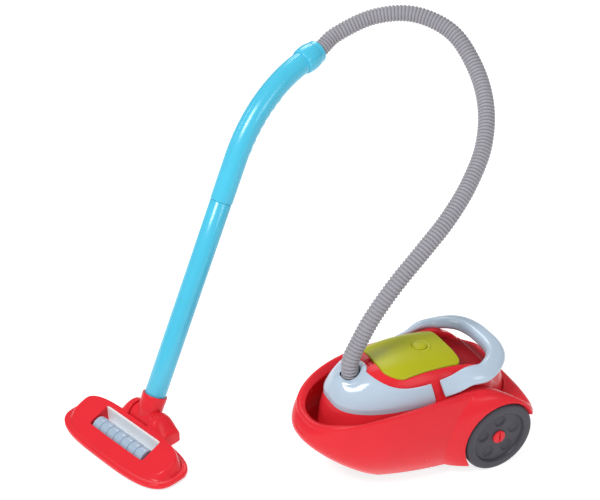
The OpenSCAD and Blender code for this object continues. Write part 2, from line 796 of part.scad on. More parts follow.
// Running length against the number of fine steps, so that ribs are spaced by length.
hose_table = [for (s = 0, k = 0; k <= hose_steps;
  s = s + norm(hose_fine[min(k + 1, hose_steps)] - hose_fine[k]), k = k + 1) [s, k]];
hose_length = hose_table[hose_steps][0];
hose_side = [0.5, 0.5, -0.7];
function hose_ring(s, r) =
  let (u = lookup(s, hose_table) / 10, c = spline(hose_route, u),
    h = 0.01, t = unit(spline(hose_route, u + h) - spline(hose_route, u - h)),
    a = unit(hose_side - t * (hose_side * t)), b = cross(a, t))
  [for (j = [0:7]) c + a * r * cos(j * 45) + b * r * sin(j * 45)];

module hose() {
  pitch = hose_length / hose_ribs;
  crest = hose_d / 2;
  outer = [for (k = [0:hose_ribs - 1])
    each [hose_ring(k * pitch, crest), hose_ring((k + 0.5) * pitch, crest - rib_depth)]];
  inner = [for (k = [hose_ribs:-4:0]) hose_ring(k * pitch, hose_bore / 2)];
  color(grey)
    loft(concat(outer, [hose_ring(hose_length, crest)], inner), true);
}

module hose_collar() {
  r = grip_r + fit;
  b = hose_d / 2 + hose_fit;
  color(blue)
    wand()
      translate(wand_pt(grip_end))
        rotate([-bend_a, 0, 0])
          rotate_extrude()
            polygon([[r, -13], [r + 1.4, -13], [r + 2.4, -10], [r + 2.8, -5], [r + 2.8, 3], [r + 1.6, 9],
              [r + 0.6, 10], [r + 0.6, 15], [b, 16], [b, 2.5], [hose_bore / 2, 2.5], [hose_bore / 2, 0.5],
              [r, 0.5]]);
}

ridge_from = bend_at + 8;
ridge_pitch = 12;
ridge_count = 7;
function ridge_h(d) = let (t = (d - ridge_from) / ridge_pitch)
  t < 0 || t > ridge_count ? 0 : ridge * (0.5 - 0.5 * cos(360 * t));
function grip_arc(d, r, bump, sx) =
  let (a = wand_turn(d), c = wand_pt(d), n = [0, cos(a), -sin(a)])
  [for (f = [-90:22.5:90]) c + [sx * r * cos(f), 0, 0] + n * (r * sin(f) + bump * pow(max(0, sin(f)), 2))];
grip_stations = concat([grip_at, grip_at + 22, bend_at - 12], [for (k = [0:ridge_count * 4]) ridge_from
  + k * ridge_pitch / 4], [ridge_from + ridge_count * ridge_pitch + 12, grip_end - tail_l - 1, grip_end]);

module grip_half(sx) {
  outer = [for (d = grip_stations) grip_arc(d, grip_r, ridge_h(d), sx)];
  inner = [for (d = grip_stations) grip_arc(d, (spigot_r + fit) / cos(11.25), 0, sx)];
  flip = sx < 0;
  color(blue)
    wand()
      slab(flip ? [for (v = outer) v] : [for (k = [len(outer) - 1:-1:0]) outer[k]],
        flip ? [for (v = inner) v] : [for (k = [len(inner) - 1:-1:0]) inner[k]]);
}

module wand_grip_left() {
  grip_half(1);
}

module wand_grip_right() {
  grip_half(-1);
}

module wand_tube() {
  color(blue)
    wand()
      rotate_extrude()
        polygon([[tube_bore / 2, 14], [tube_r, 14], [tube_r, grip_at - side_gap],
          [spigot_r, grip_at - side_gap], [spigot_r, grip_at + 18], [tube_bore / 2, grip_at + 18]]);
}

module neck_elbow() {
  color(red)
    wand()
      difference() {
        union() {
          bar_x(-barrel_half, barrel_half, 14);
          cylinder(r1 = 13.6, r2 = sleeve_r, h = 12);
          translate([0, 0, 12])
            cylinder(r = sleeve_r, h = 19);
        }
        translate([0, 0, 14])
          cylinder(r = tube_r + fit, h = 40);
        bar_x(-30, 30, 3 + turn_gap);
      }
}

module neck_pin() {
  color(steel)
    floor_head()
      translate([0, neck_y, neck_z])
        bar_x(-cheek_out + 1, cheek_out - 1, 3);
}

function head_pt(a, in) = [(head_half - in) * spow(sin(a), 0.62),
  -(cos(a) > 0 ? head_front - in : head_back - in) * spow(cos(a), 0.62)];
function ramp(y) = 12 + (y + 28) * 0.38;
// Outline of a cheek at share k of its full height, which sinks towards its outer end.
function cheek_ring(x, k) = concat(
  [for (t = [190:-20:-10]) [x, neck_y + 16 * cos(t), sole_t + (neck_z - sole_t + 16 * sin(t)) * k]],
  [[x, neck_y + 16, sole_t], [x, neck_y - 22, sole_t], [x, neck_y - 22, sole_t + 6 * k]]);

module head_cover() {
  // Each step of the cover: inset, height over the sole, share of the ramp's height.
  steps = [[0, 0, 0], [0, 4.5, 0], [0.8, 5.6, 0], [2.2, 6, 0], [6, 6.2, 0], [7.5, 6.6, 0.15], [9, 6.6, 0.75],
    [11, 6.6, 0.96], [14, 6.6, 1], [22, 6.6, 1]];
  rings = [for (s = steps) [for (j = [0:47])
    let (p = head_pt(-j * 7.5, s[0]), low = sole_t + s[1], h = max(ramp(p.y), low))
    [p.x, p.y, low + (h - low) * s[2]]]];
  color(red)
    floor_head()
      difference() {
        union() {
          loft(rings, false);
          both()
            loft([for (s = [[cheek_in, 1], [26, 0.97], [cheek_out, 0.84], [37, 0.62], [cheek_end - 1.5, 0.5],
              [cheek_end, 0.44]]) cheek_ring(s[0], s[1])]);
        }
        translate([-window_l / 2, -window_w / 2, -1])
          cube([window_l, window_w, 80]);
        translate([-window_l / 2, bay_front, -1])
          cube([window_l, 10, 1 + roller_z + 1]);
        translate([-cheek_in, neck_y - 15.5, sole_t + 4.5])
          cube([2 * cheek_in, 60, 60]);
        translate([0, roller_y, roller_z])
          bar_x(-window_l / 2 - 9, window_l / 2 + 9, 2.5 + fit);
        translate([0, neck_y, neck_z])
          bar_x(-cheek_out + 0.8, cheek_out - 0.8, 3 + fit);
        for (p = head_posts)
          translate([p.x, p.y, 0])
            cylinder(r = screw_r + fit, h = sole_t + 5.2);
      }
}

head_posts = [[72, -14], [-72, -14], [66, 14], [-66, 14]];

module head_sole() {
  color(pale)
    floor_head()
      difference() {
        union() {
          linear_extrude(sole_t)
            polygon([for (j = [0:63]) head_pt(j * 5.625, 1.2)]);
          translate([-window_l / 2 + 0.1, window_w / 2 - lining_t, 1])
            cube([window_l - 0.2, lining_t - 0.1, ramp(window_w / 2) - 3]);
        }
        translate([-window_l / 2, bay_front, -1])
          cube([window_l, window_w / 2 - lining_t - bay_front, 20]);
        for (p = head_posts)
          translate([p.x, p.y, -1]) {
            cylinder(r = screw_r + fit, h = 20);
            cylinder(r = 3.2, h = 3);
          }
      }
}

module head_screws() {
  color(steel)
    floor_head()
      for (p = head_posts)
        translate([p.x, p.y, 2])
          screw(7);
}

module roller() {
  r = roller_r;
  pitch = 2 * roller_half / 7;
  color(pale)
    floor_head()
      translate([0, roller_y, roller_z])
        rotate([90, 0, 90])
          rotate_extrude()
            polygon(concat([[2.5 + turn_gap, -roller_half], [r - 1, -roller_half], [r, 1 - roller_half]],
              [for (k = [1:6]) let (x = k * pitch - roller_half)
                each [[r, x - 1.2], [r - 1.2, x - 0.6], [r - 1.2, x + 0.6], [r, x + 1.2]]],
              [[r, roller_half - 1], [r - 1, roller_half], [2.5 + turn_gap, roller_half]]));
}

module roller_axle() {
  color(steel)
    floor_head()
      translate([0, roller_y, roller_z])
        bar_x(-window_l / 2 - 8.7, window_l / 2 + 8.7, 2.5);
}

skirt();
upper_shell();
base_plate();
base_screws();
front_trim();
hose_socket();
carry_handle();
lid();
lid_pin();
lid_button();
button_cup();
button_spring();
wheel_left();
wheel_right();
axle_pin_left();
axle_pin_right();
caster_fork();
caster_wheel();
caster_axle();
hose_cuff();
hose();
hose_collar();
wand_grip_left();
wand_grip_right();
wand_tube();
neck_elbow();
neck_pin();
head_cover();
head_sole();
roller();
roller_axle();
head_screws();
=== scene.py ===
import math

import bmesh
import bpy
import numpy as np
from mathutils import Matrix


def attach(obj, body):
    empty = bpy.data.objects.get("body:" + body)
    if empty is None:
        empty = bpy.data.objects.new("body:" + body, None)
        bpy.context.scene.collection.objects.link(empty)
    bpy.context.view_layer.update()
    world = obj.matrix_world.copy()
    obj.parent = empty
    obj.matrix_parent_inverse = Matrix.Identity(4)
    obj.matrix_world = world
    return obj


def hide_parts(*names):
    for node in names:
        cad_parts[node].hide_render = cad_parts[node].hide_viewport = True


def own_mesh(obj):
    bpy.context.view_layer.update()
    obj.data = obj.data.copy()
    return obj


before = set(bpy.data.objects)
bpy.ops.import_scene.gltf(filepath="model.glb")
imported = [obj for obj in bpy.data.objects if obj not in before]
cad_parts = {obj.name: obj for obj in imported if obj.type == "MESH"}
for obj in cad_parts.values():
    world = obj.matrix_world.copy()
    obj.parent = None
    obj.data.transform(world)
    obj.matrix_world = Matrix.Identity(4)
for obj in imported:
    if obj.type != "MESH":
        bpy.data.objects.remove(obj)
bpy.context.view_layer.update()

# Studio. A white paper floor in a bright room, lit by large soft panels, with the camera
# a good metre off the canister's left front corner and looking down on it by 30 degrees.
scene = bpy.context.scene
scene.view_settings.view_transform = "Standard"
room = bpy.data.worlds.new("studio_room")
room.use_nodes = True
room_light = room.node_tree.nodes["Background"]
room_light.inputs["Color"].default_value = (1.0, 1.0, 1.0, 1.0)
room_light.inputs["Strength"].default_value = 0.32
scene.world = room

paper = bpy.data.materials.new("floor_paper")
paper.use_nodes = True
paper_shader = paper.node_tree.nodes["Principled BSDF"]
paper_shader.inputs["Base Color"].default_value = (0.5, 0.5, 0.5, 1.0)
paper_shader.inputs["Roughness"].default_value = 0.9
paper_shader.inputs["Emission Color"].default_value = (1.0, 1.0, 1.0, 1.0)
paper_shader.inputs["Emission Strength"].default_value = 0.8
half_floor, aim_z = 9.0, 0.15
corners = ((-1, -1), (1, -1), (1, 1), (-1, 1))
floor_mesh = bpy.data.meshes.new("studio_floor")
floor_mesh.from_pydata([(x * half_floor, y * half_floor, 0) for x, y in corners], [], [(0, 1, 2, 3)])
floor_mesh.materials.append(paper)
floor = bpy.data.objects.new("studio_floor", floor_mesh)
scene.collection.objects.link(floor)


def soft_panel(name, azimuth, height, distance, size, watts):
    """A square area light on a circle round the object, turned to its middle. The azimuth is in
    degrees from the front towards the near side, and lengths are in metres."""
    data = bpy.data.lights.new(name, "AREA")
    data.size = size
    data.energy = watts
    lamp = bpy.data.objects.new(name, data)
    a = math.radians(azimuth)
    lamp.location = (distance * math.sin(a), -distance * math.cos(a), height)
    lamp.rotation_euler = (math.atan2(distance, height - aim_z), 0.0, a)
    scene.collection.objects.link(lamp)


soft_panel("key_panel", azimuth=25, height=1.7, distance=1.1, size=0.6, watts=25)
soft_panel("side_panel", azimuth=115, height=1.1, distance=1.7, size=0.6, watts=5)
soft_panel("back_panel", azimuth=250, height=1.5, distance=1.3, size=0.7, watts=9)

lens = bpy.data.cameras.new("photo_camera")
lens.sensor_width = 36.0
lens.lens = 66.0
camera = bpy.data.objects.new("photo_camera", lens)
camera.location = (0.9682, -0.4543, 0.8694)
camera.rotation_euler = (math.radians(60), 0.0, math.radians(64))
scene.collection.objects.link(camera)
scene.camera = camera

# Upper shell. The red dome of the canister in satin ABS plastic, moulded in one shot with the
# lid's recess, the compartment under it, the scoop under the handle and the hose bore.
canister_at = np.array([94.8, 189.1, 0.0])
dome_half, dome_nose, dome_mid, dome_n = 66.0, 118.0, -70.0, 2.3
belly_z, base_z = 60.0, 20.0
crown_y, crown_len, crown_rise = -90.0, 100.0, 84.5
rear_fall, tail_fall = 0.0019, 0.012
arm_x, shoulder_rise, shoulder_w = 51.0, 21.0, 9.0
shoulder_from, shoulder_run, shoulder_end, shoulder_fade = -66.0, 61.0, -2.0, 24.0
wheel_r, arch_r, arch_x = 45.0, 47.5, 54.6
lid_front, lid_rear, lid_half, lid_gap, lid_bow = -120.0, -30.5, 38.0, 0.5, 9.0
lid_mid, lid_taper = -80.0, 1.5
bar_y, bar_z, scoop_r, notch_r = 24.0, 128.0, 22.5, 6.0
pocket_z, recess_y, recess_z = 88.0, 12.75, 110.5
socket_y, well_r, well_z = -155.0, 15.6, 102.0
red_paint = (226, 44, 54)


def clip(t):
    """t held between 0 and 1."""
    return np.clip(t, 0.0, 1.0)


def smooth(t):
    """Soft step from 0 to 1: 3u2 - 2u3 of t held between 0 and 1."""
    u = clip(t)
    return u * u * (3 - 2 * u)


def roof(x, y, lift=0.0):
    """Dome height over the floor. Its middle line is a superellipse over the nose and a parabola
    behind the crown, steeper behind the axle; across, it is flat with round sides; two bell-shaped
    shoulders rise beside the lid to carry the handle."""
    rise = crown_rise + lift
    nose = rise * (1 - clip(np.abs(y - crown_y) / (crown_len + lift)) ** 2.5) ** 0.4
    tail = rise - rear_fall * (y - crown_y) ** 2 - tail_fall * np.maximum(y, 0) ** 2
    crown = np.where(y < crown_y, nose, tail)
    share = clip(np.abs(y - dome_mid) / (dome_nose + lift))
    width = (dome_half + lift) * (1 - share ** dome_n) ** (1 / dome_n)
    across = (1 - clip(np.abs(x) / np.maximum(width, 0.01)) ** 4) ** 0.94
    bell = np.exp(-((np.abs(x) - arm_x) / shoulder_w) ** 2)
    shoulder = shoulder_rise * bell * smooth((y - shoulder_from) / shoulder_run)
    shoulder = shoulder * (1 - smooth((y - shoulder_end) / shoulder_fade))
    return belly_z + crown * across + shoulder


def running(points):
    """Length along a line of points at each of them."""
    return np.concatenate([[0.0], np.cumsum(np.linalg.norm(np.diff(points, axis=0), axis=1))])


def evenly(points, count):
    """A closed flat line of points set out anew at count equal steps of its length."""
    run = running(points)
    at = np.linspace(0, run[-1], count, endpoint=False)
    return np.stack([np.interp(at, run, points[:, 0]), np.interp(at, run, points[:, 1])], -1)


def reach_of(ray, half_x, half_y, n):
    """Distance along flat unit rays to a superellipse of exponent n round their start."""
    return ((np.abs(ray[:, 0]) / half_x) ** n + (np.abs(ray[:, 1]) / half_y) ** n) ** (-1 / n)


def rounded_loop(y0, y1, half, r0, r1, count):
    """Closed rounded rectangle from y0 to y1, with corner radius r0 at y0 and r1 at y1, its rear
    narrower by the taper a side and its front edge bowed forwards, as evenly spaced points."""
    t = np.linspace(0, np.pi / 2, 30)
    corners = [(half - r1, y1 - r1, r1, 0), (r1 - half, y1 - r1, r1, 1),
               (r0 - half, y0 + r0, r0, 2), (half - r0, y0 + r0, r0, 3)]
    arcs = [np.stack([cx + r * np.cos(t + k * np.pi / 2), cy + r * np.sin(t + k * np.pi / 2)], -1)
            for cx, cy, r, k in corners]
    loop = np.concatenate(arcs)
    loop[:, 0] *= (half - lid_taper + lid_taper * clip((lid_rear - loop[:, 1]) / 80)) / half
    bow = lid_bow * clip((lid_mid - loop[:, 1]) / 40)
    loop[:, 1] -= bow * np.maximum(1 - (loop[:, 0] / lid_half) ** 2, 0)
    return evenly(np.concatenate([loop, loop[:1]]), count)


def skin(grid, ring=False, tube=True, caps=False):
    """Points and faces of one surface on a grid of rows and columns. ring joins the last row to
    the first, tube the last column to the first, and caps closes both end rows with a fan."""
    rows, cols = grid.shape[:2]
    index = np.arange(rows * cols).reshape(rows, cols)
    points = grid.reshape(-1, 3)
    fans = np.zeros((0, 3), int)
    if caps:
        points = np.concatenate([points, grid[[0, -1]].mean(axis=1)])
        turn = np.roll(index, -1, axis=1)
        tip = np.full(cols, rows * cols)
        first = np.stack([tip, turn[0], index[0]], -1)
        final = np.stack([tip + 1, index[-1], turn[-1]], -1)
        fans = np.concatenate([first, final])
    if ring:
        index = np.concatenate([index, index[:1]])
    if tube:
        index = np.concatenate([index, index[:, :1]], axis=1)
    quads = np.stack([index[:-1, :-1], index[:-1, 1:], index[1:, 1:], index[1:, :-1]], -1)
    return points, quads.reshape(-1, 4), fans


def moulding(name, skins, finish, crease=38.0, ease=3):
    """One piece from its surfaces, given in millimetres. Doubles are merged, faces turned outwards
    and edges sharper than crease kept sharp. The attributes rub and sunk hold how far each point
    stands proud of its neighbours or lies below them, for polished edges and for hollows darkened
    with painted shade."""
    full_bend = 700.0
    points = np.concatenate([s[0] for s in skins])
    start = np.cumsum([0] + [len(s[0]) for s in skins])
    faces = [f for s, k in zip(skins, start) for f in (s[1] + k).tolist() + (s[2] + k).tolist()]
    mesh = bpy.data.meshes.new(name)
    mesh.from_pydata((points / 1000).tolist(), [], faces)
    work = bmesh.new()
    work.from_mesh(mesh)
    bmesh.ops.remove_doubles(work, verts=work.verts, dist=1e-6)
    bmesh.ops.dissolve_degenerate(work, dist=1e-7, edges=work.edges)
    bmesh.ops.recalc_face_normals(work, faces=work.faces)
    work.to_mesh(mesh)
    work.free()
    mesh.shade_smooth()
    mesh.set_sharp_from_angle(angle=math.radians(crease))

    def read(source, label, kind, width):
        """One property of all vertices or edges, as rows of width values."""
        values = np.empty(len(source) * width, kind)
        source.foreach_get(label, values)
        return values.reshape(-1, width)

    def gathered(to_a, to_b):
        """Sum at each vertex of what its edges give to their first and second ends."""
        return np.bincount(a, to_a, count) + np.bincount(b, to_b, count)

    count = len(mesh.vertices)
    spots, normals = read(mesh.vertices, "co", float, 3), read(mesh.vertices, "normal", float, 3)
    a, b = read(mesh.edges, "vertices", int, 2).T
    step = spots[b] - spots[a]
    span = np.maximum((step ** 2).sum(1), 1e-12)
    degree = np.maximum(gathered(None, None), 1)
    bend = gathered(-(normals[a] * step).sum(1) / span, (normals[b] * step).sum(1) / span)
    bend = bend / degree / full_bend
    for _ in range(ease):
        bend = (bend * 2 + gathered(bend[b], bend[a])) / (2 + degree)
    for label, sign in (("rub", 1), ("sunk", -1)):
        level = mesh.attributes.new(label, "FLOAT", "POINT")
        level.data.foreach_set("value", clip(sign * bend))
    mesh.materials.append(finish)
    piece = bpy.data.objects.new(name, mesh)
    scene.collection.objects.link(piece)
    return piece


def linear(rgb, gain=1.0):
    """Screen colour 0 to 255 as linear light."""
    c = np.array(rgb) / 255.0
    light = np.where(c < 0.04045, c / 12.92, ((c + 0.055) / 1.055) ** 2.4) * gain
    return (*clip(light).tolist(), 1.0)


def shader_node(finish, kind, sockets):
    """A new node of a material. Each socket named gets its constant, or the output that feeds it."""
    node = finish.node_tree.nodes.new("ShaderNode" + kind)
    for label, value in sockets.items():
        if isinstance(value, bpy.types.NodeSocket):
            finish.node_tree.links.new(value, node.inputs[label])
        else:
            node.inputs[label].default_value = value
    return node


def moulded_plastic(name, rgb, rough, grain=900.0, relief=0.008, gloss=0.25, hollow_shade=0.25):
    """Injection-moulded plastic. Slow noise shifts the colour a little, as pigment does; fine noise
    gives the mould's grain to the bump; stretched noise gives wiping marks to the roughness; gloss
    sets the strength of reflections; proud edges are lighter from handling; and hollows and creases
    are darkened with painted shade."""
    finish = bpy.data.materials.new(name)
    finish.use_nodes = True
    links, shader = finish.node_tree.links, finish.node_tree.nodes["Principled BSDF"]
    place = shader_node(finish, "TexCoord", {}).outputs["Object"]

    def noise(scale, detail, source=place):
        """Noise over the piece, between 0 and 1."""
        tex = shader_node(finish, "TexNoise", {"Vector": source, "Scale": scale, "Detail": detail})
        return tex.outputs["Fac"]

    def spread(value, low, high, start=0.3, stop=0.7):
        """A value whose span from start to stop is stretched to low and high."""
        span = shader_node(finish, "MapRange", {"Value": value, "From Min": start, "From Max": stop,
                                                "To Min": low, "To Max": high})
        return span.outputs["Result"]

    def level(label, low, high, start, stop):
        """An attribute of the mesh, stretched in the same way."""
        source = shader_node(finish, "Attribute", {})
        source.attribute_name = label
        return spread(source.outputs["Fac"], low, high, start, stop)

    def mixed(amount, a, b):
        """The colour that lies that amount of the way from a to b."""
        mix = shader_node(finish, "Mix", {"Factor": amount})
        mix.data_type = "RGBA"
        for label, c in (("A", a), ("B", b)):
            socket = next(s for s in mix.inputs if s.name == label and s.type == "RGBA")
            if isinstance(c, tuple):
                socket.default_value = c
            else:
                links.new(c, socket)
        return next(s for s in mix.outputs if s.type == "RGBA")

    pigment = mixed(spread(noise(14.0, 3.0), 0.0, 1.0), linear(rgb, 0.96), linear(rgb, 1.04))
    # Painted shade: where the sunk attribute marks a hollow or crease, the colour is darkened towards 0.3 of
    # itself.
    shaded = mixed(level("sunk", 0.0, hollow_shade, 0.08, 0.6), pigment, linear(rgb, 0.3))
    worn = mixed(level("rub", 0.0, 0.18, 0.15, 0.9), shaded, linear(rgb, 1.4))
    links.new(worn, shader.inputs["Base Color"])
    wiped = shader_node(finish, "Mapping", {"Vector": place, "Scale": (1.0, 6.0, 1.0),
                                            "Rotation": (0.3, 0.5, 0.9)}).outputs["Vector"]
    sheen = shader_node(finish, "Math", {0: spread(noise(60.0, 4.0), rough - 0.03, rough + 0.04),
                                         1: spread(noise(9.0, 2.0, wiped), 0.0, 0.03)})
    sheen.operation = "ADD"
    shader.inputs["Specular IOR Level"].default_value = gloss
    links.new(sheen.outputs["Value"], shader.inputs["Roughness"])
    bump = shader_node(finish, "Bump", {"Strength": relief, "Distance": 0.0006, "Height": noise(grain, 2.0)})
    links.new(bump.outputs["Normal"], shader.inputs["Normal"])
    return finish


def beside_arch(p):
    """Points inside the wheel arch pressed back to its inner wall."""
    inside = np.hypot(p[..., 1], p[..., 2] - wheel_r) < arch_r
    x = np.where(inside, np.clip(p[..., 0], -arch_x, arch_x), p[..., 0])
    return np.stack([x, p[..., 1], p[..., 2]], -1)


def scoop_z(y):
    """Height of the round trough under the handle's bar."""
    return bar_z - np.sqrt(np.maximum(scoop_r ** 2 - (y - bar_y) ** 2, 0))


def pressed(z, tool, where, x, half, soft):
    """Heights z pressed down to the tool's where it lies, out to half from the middle, with a soft end."""
    return np.where(where, z - np.maximum(z - tool, 0) * (1 - smooth((np.abs(x) - half) / soft)), z)


def shell_top(x, y):
    """Outer face of the shell: the dome less the round scoop under the handle's bar, the finger
    notch before the lid and the well for the hose socket."""
    z = pressed(roof(x, y), scoop_z(y), np.abs(y - bar_y) < scoop_r, x, half=33.2, soft=1.6)
    tip_y = lid_front - lid_bow
    notch_y = tip_y - 1.5
    notch = roof(0 * x, tip_y + 0 * y) + 2.5 - np.sqrt(np.maximum(notch_r ** 2 - (y - notch_y) ** 2, 0))
    z = pressed(z, notch, np.abs(y - notch_y) < notch_r, x, half=4.4, soft=1.2)
    return np.where(np.hypot(x, y - socket_y) < well_r, well_z, z)


def raised(p, height, drop=0.0):
    """Flat points set at the height that a function gives for their place, less a drop."""
    return np.column_stack([p, height(*p.T) - drop])


def shell_grid():
    """Rays from the dome's middle through a point of the recess outline. Along each, the grid
    climbs from the compartment's floor over its wall and the lid's ledge, rounds the rim, follows
    the dome to its widest line and turns in under the belly."""
    edge_r = 0.8
    step_y, ledge_y, step_w, ledge_deep = -38.0, -42.5, 1.5, 3.2
    rim = rounded_loop(lid_front - lid_gap, recess_y, lid_half + lid_gap, r0=16.5, r1=1.8, count=560)
    out = rim - np.array([0.0, dome_mid])
    near = np.linalg.norm(out, axis=1)
    ray = out / near[:, None]
    reach = reach_of(ray, dome_half, dome_nose, dome_n)

    def along(far):
        """Plan points at distance far on the rays from the dome's middle."""
        return np.stack([ray[:, 0] * far, dome_mid + ray[:, 1] * far], -1)

    def floor_z(x, y):
        """Floor of the recess: the deep pocket and a step up behind it, cut by the scoop."""
        return np.minimum(pocket_z + (recess_z - pocket_z) * smooth((y - step_y) / step_w), scoop_z(y))

    inner = [along(near * f) for f in (0.04, 0.2, 0.4, 0.6, 0.75, 0.86)]
    inner += [along(near - 5.2), along(near - 4.8)]
    rows = [raised(p, floor_z) for p in inner]
    top = shell_top(*rim.T)
    lid_top = roof(*rim.T)
    back = smooth((rim[:, 1] - ledge_y) / step_w)
    ledge = np.minimum((lid_top - ledge_deep) * (1 - back) + recess_z * back, top - 0.9)
    rows += [np.column_stack([along(near - g), ledge]) for g in (4.6, 1.0, 0.05)]
    wall_h = top - edge_r - ledge
    rows += [np.column_stack([along(near), ledge + wall_h * t]) for t in (0.05, 0.5, 1.0)]
    for e in (0.06, 0.24, 0.5, 0.8):
        rows.append(raised(along(near + e), shell_top, edge_r - np.sqrt(edge_r ** 2 - (edge_r - e) ** 2)))
    for s in 1 - (1 - np.linspace(0, 1, 84)[1:]) ** 2.2:
        rows.append(raised(along(near + edge_r + (reach - near - edge_r) * s), shell_top))
    for z in np.linspace(belly_z, base_z, 16):
        p = along(reach * np.interp(z, (base_z, 40, belly_z), (0.72, 0.9, 1.0)))
        rows.append(np.column_stack([p, np.full(len(p), z)]))
    return beside_arch(np.stack(rows)) + canister_at


# The red plastic carries strong painted shade in its hollows and creases.
red_plastic = moulded_plastic("satin_red_plastic", red_paint, 0.22, gloss=0.16, hollow_shade=0.8)
upper_shell = moulding("upper_shell_dome", [skin(shell_grid(), caps=True)], red_plastic)
# Painted shade: the lid's recess, the compartment and the scoop under the bar are darkened by how deep they
# lie under the dome's top.
spots = np.array([v.co for v in upper_shell.data.vertices]) * 1000 - canister_at
depth = np.where(spots[:, 1] > -60, roof(spots[:, 0], spots[:, 1]) - spots[:, 2], 0.0)
upper_shell.data.attributes["sunk"].data.foreach_set("value", smooth((depth - 1) / 14))
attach(upper_shell, "canister")
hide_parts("upper_shell")

# Skirt. The red outer housing with the loop at the front, moulded in one piece with the fenders
# that flare round the wheels; it drops over the dome and follows it with its inner lip.
rim_top, rim_dip, skirt_z, lip_drop = 111.0, 19.0, 17.0, 3.0
wheel_face, flare_w, skirt_wall, loop_gap = 82.0, 22.0, 5.0, 18.0
rim_nose, side_run, side_step = 145.0, 45.0, 6.0
tail_drop, tail_from, tail_run = 36.0, -25.0, 75.0
toe_rise, toe_from, toe_run = 38.0, -140.0, 62.0


def spow(v, e):
    """Power of the size of v with the sign of v."""
    return np.sign(v) * np.abs(v) ** e


def plan(a, half, mid, nose, tail, n, m):
    """Superellipse seen from above, exponent n before its middle and m behind it."""
    ahead = np.cos(a) > 0
    e = np.where(ahead, 2 / n, 2 / m)
    y = mid - np.where(ahead, nose, tail) * spow(np.cos(a), e)
    return np.stack([half * spow(np.sin(a), e), y], -1)


def halved(low, high, over, steps):
    """Places between low and high where over stops being true, found by halving the span."""
    for _ in range(steps):
        middle = (low + high) / 2
        still = over(middle)
        low, high = np.where(still, middle, low), np.where(still, high, middle)
    return low


def rim_height(y):
    """Upper edge of the skirt: level beside the lid, dipping to the loop and falling to the tail."""
    dip = rim_dip * clip((dome_mid - y) / rim_nose) ** 3
    step = side_step * clip((y - dome_mid) / side_run)
    return rim_top - dip - step - tail_drop * clip((y - tail_from) / tail_run) ** 2.2


def fender(p, face=wheel_face):
    """Outward push of the fender: a band that rises from a crease to a face at the arch's edge and
    fades below the tail's tip."""
    x = np.abs(p[..., 0])
    d = np.maximum(np.hypot(p[..., 1], p[..., 2] - wheel_r) - arch_r, 0)
    push = np.maximum(face - x, 0) * np.maximum(1 - d / flare_w, 0) ** 0.85 * smooth((x - 40) / 25)
    push = push * np.where(p[..., 1] > 0, smooth((p[..., 2] - wheel_r - 6) / 14), 1.0)
    return np.stack([np.sign(p[..., 0]) * push, 0 * push, 0 * push], -1)


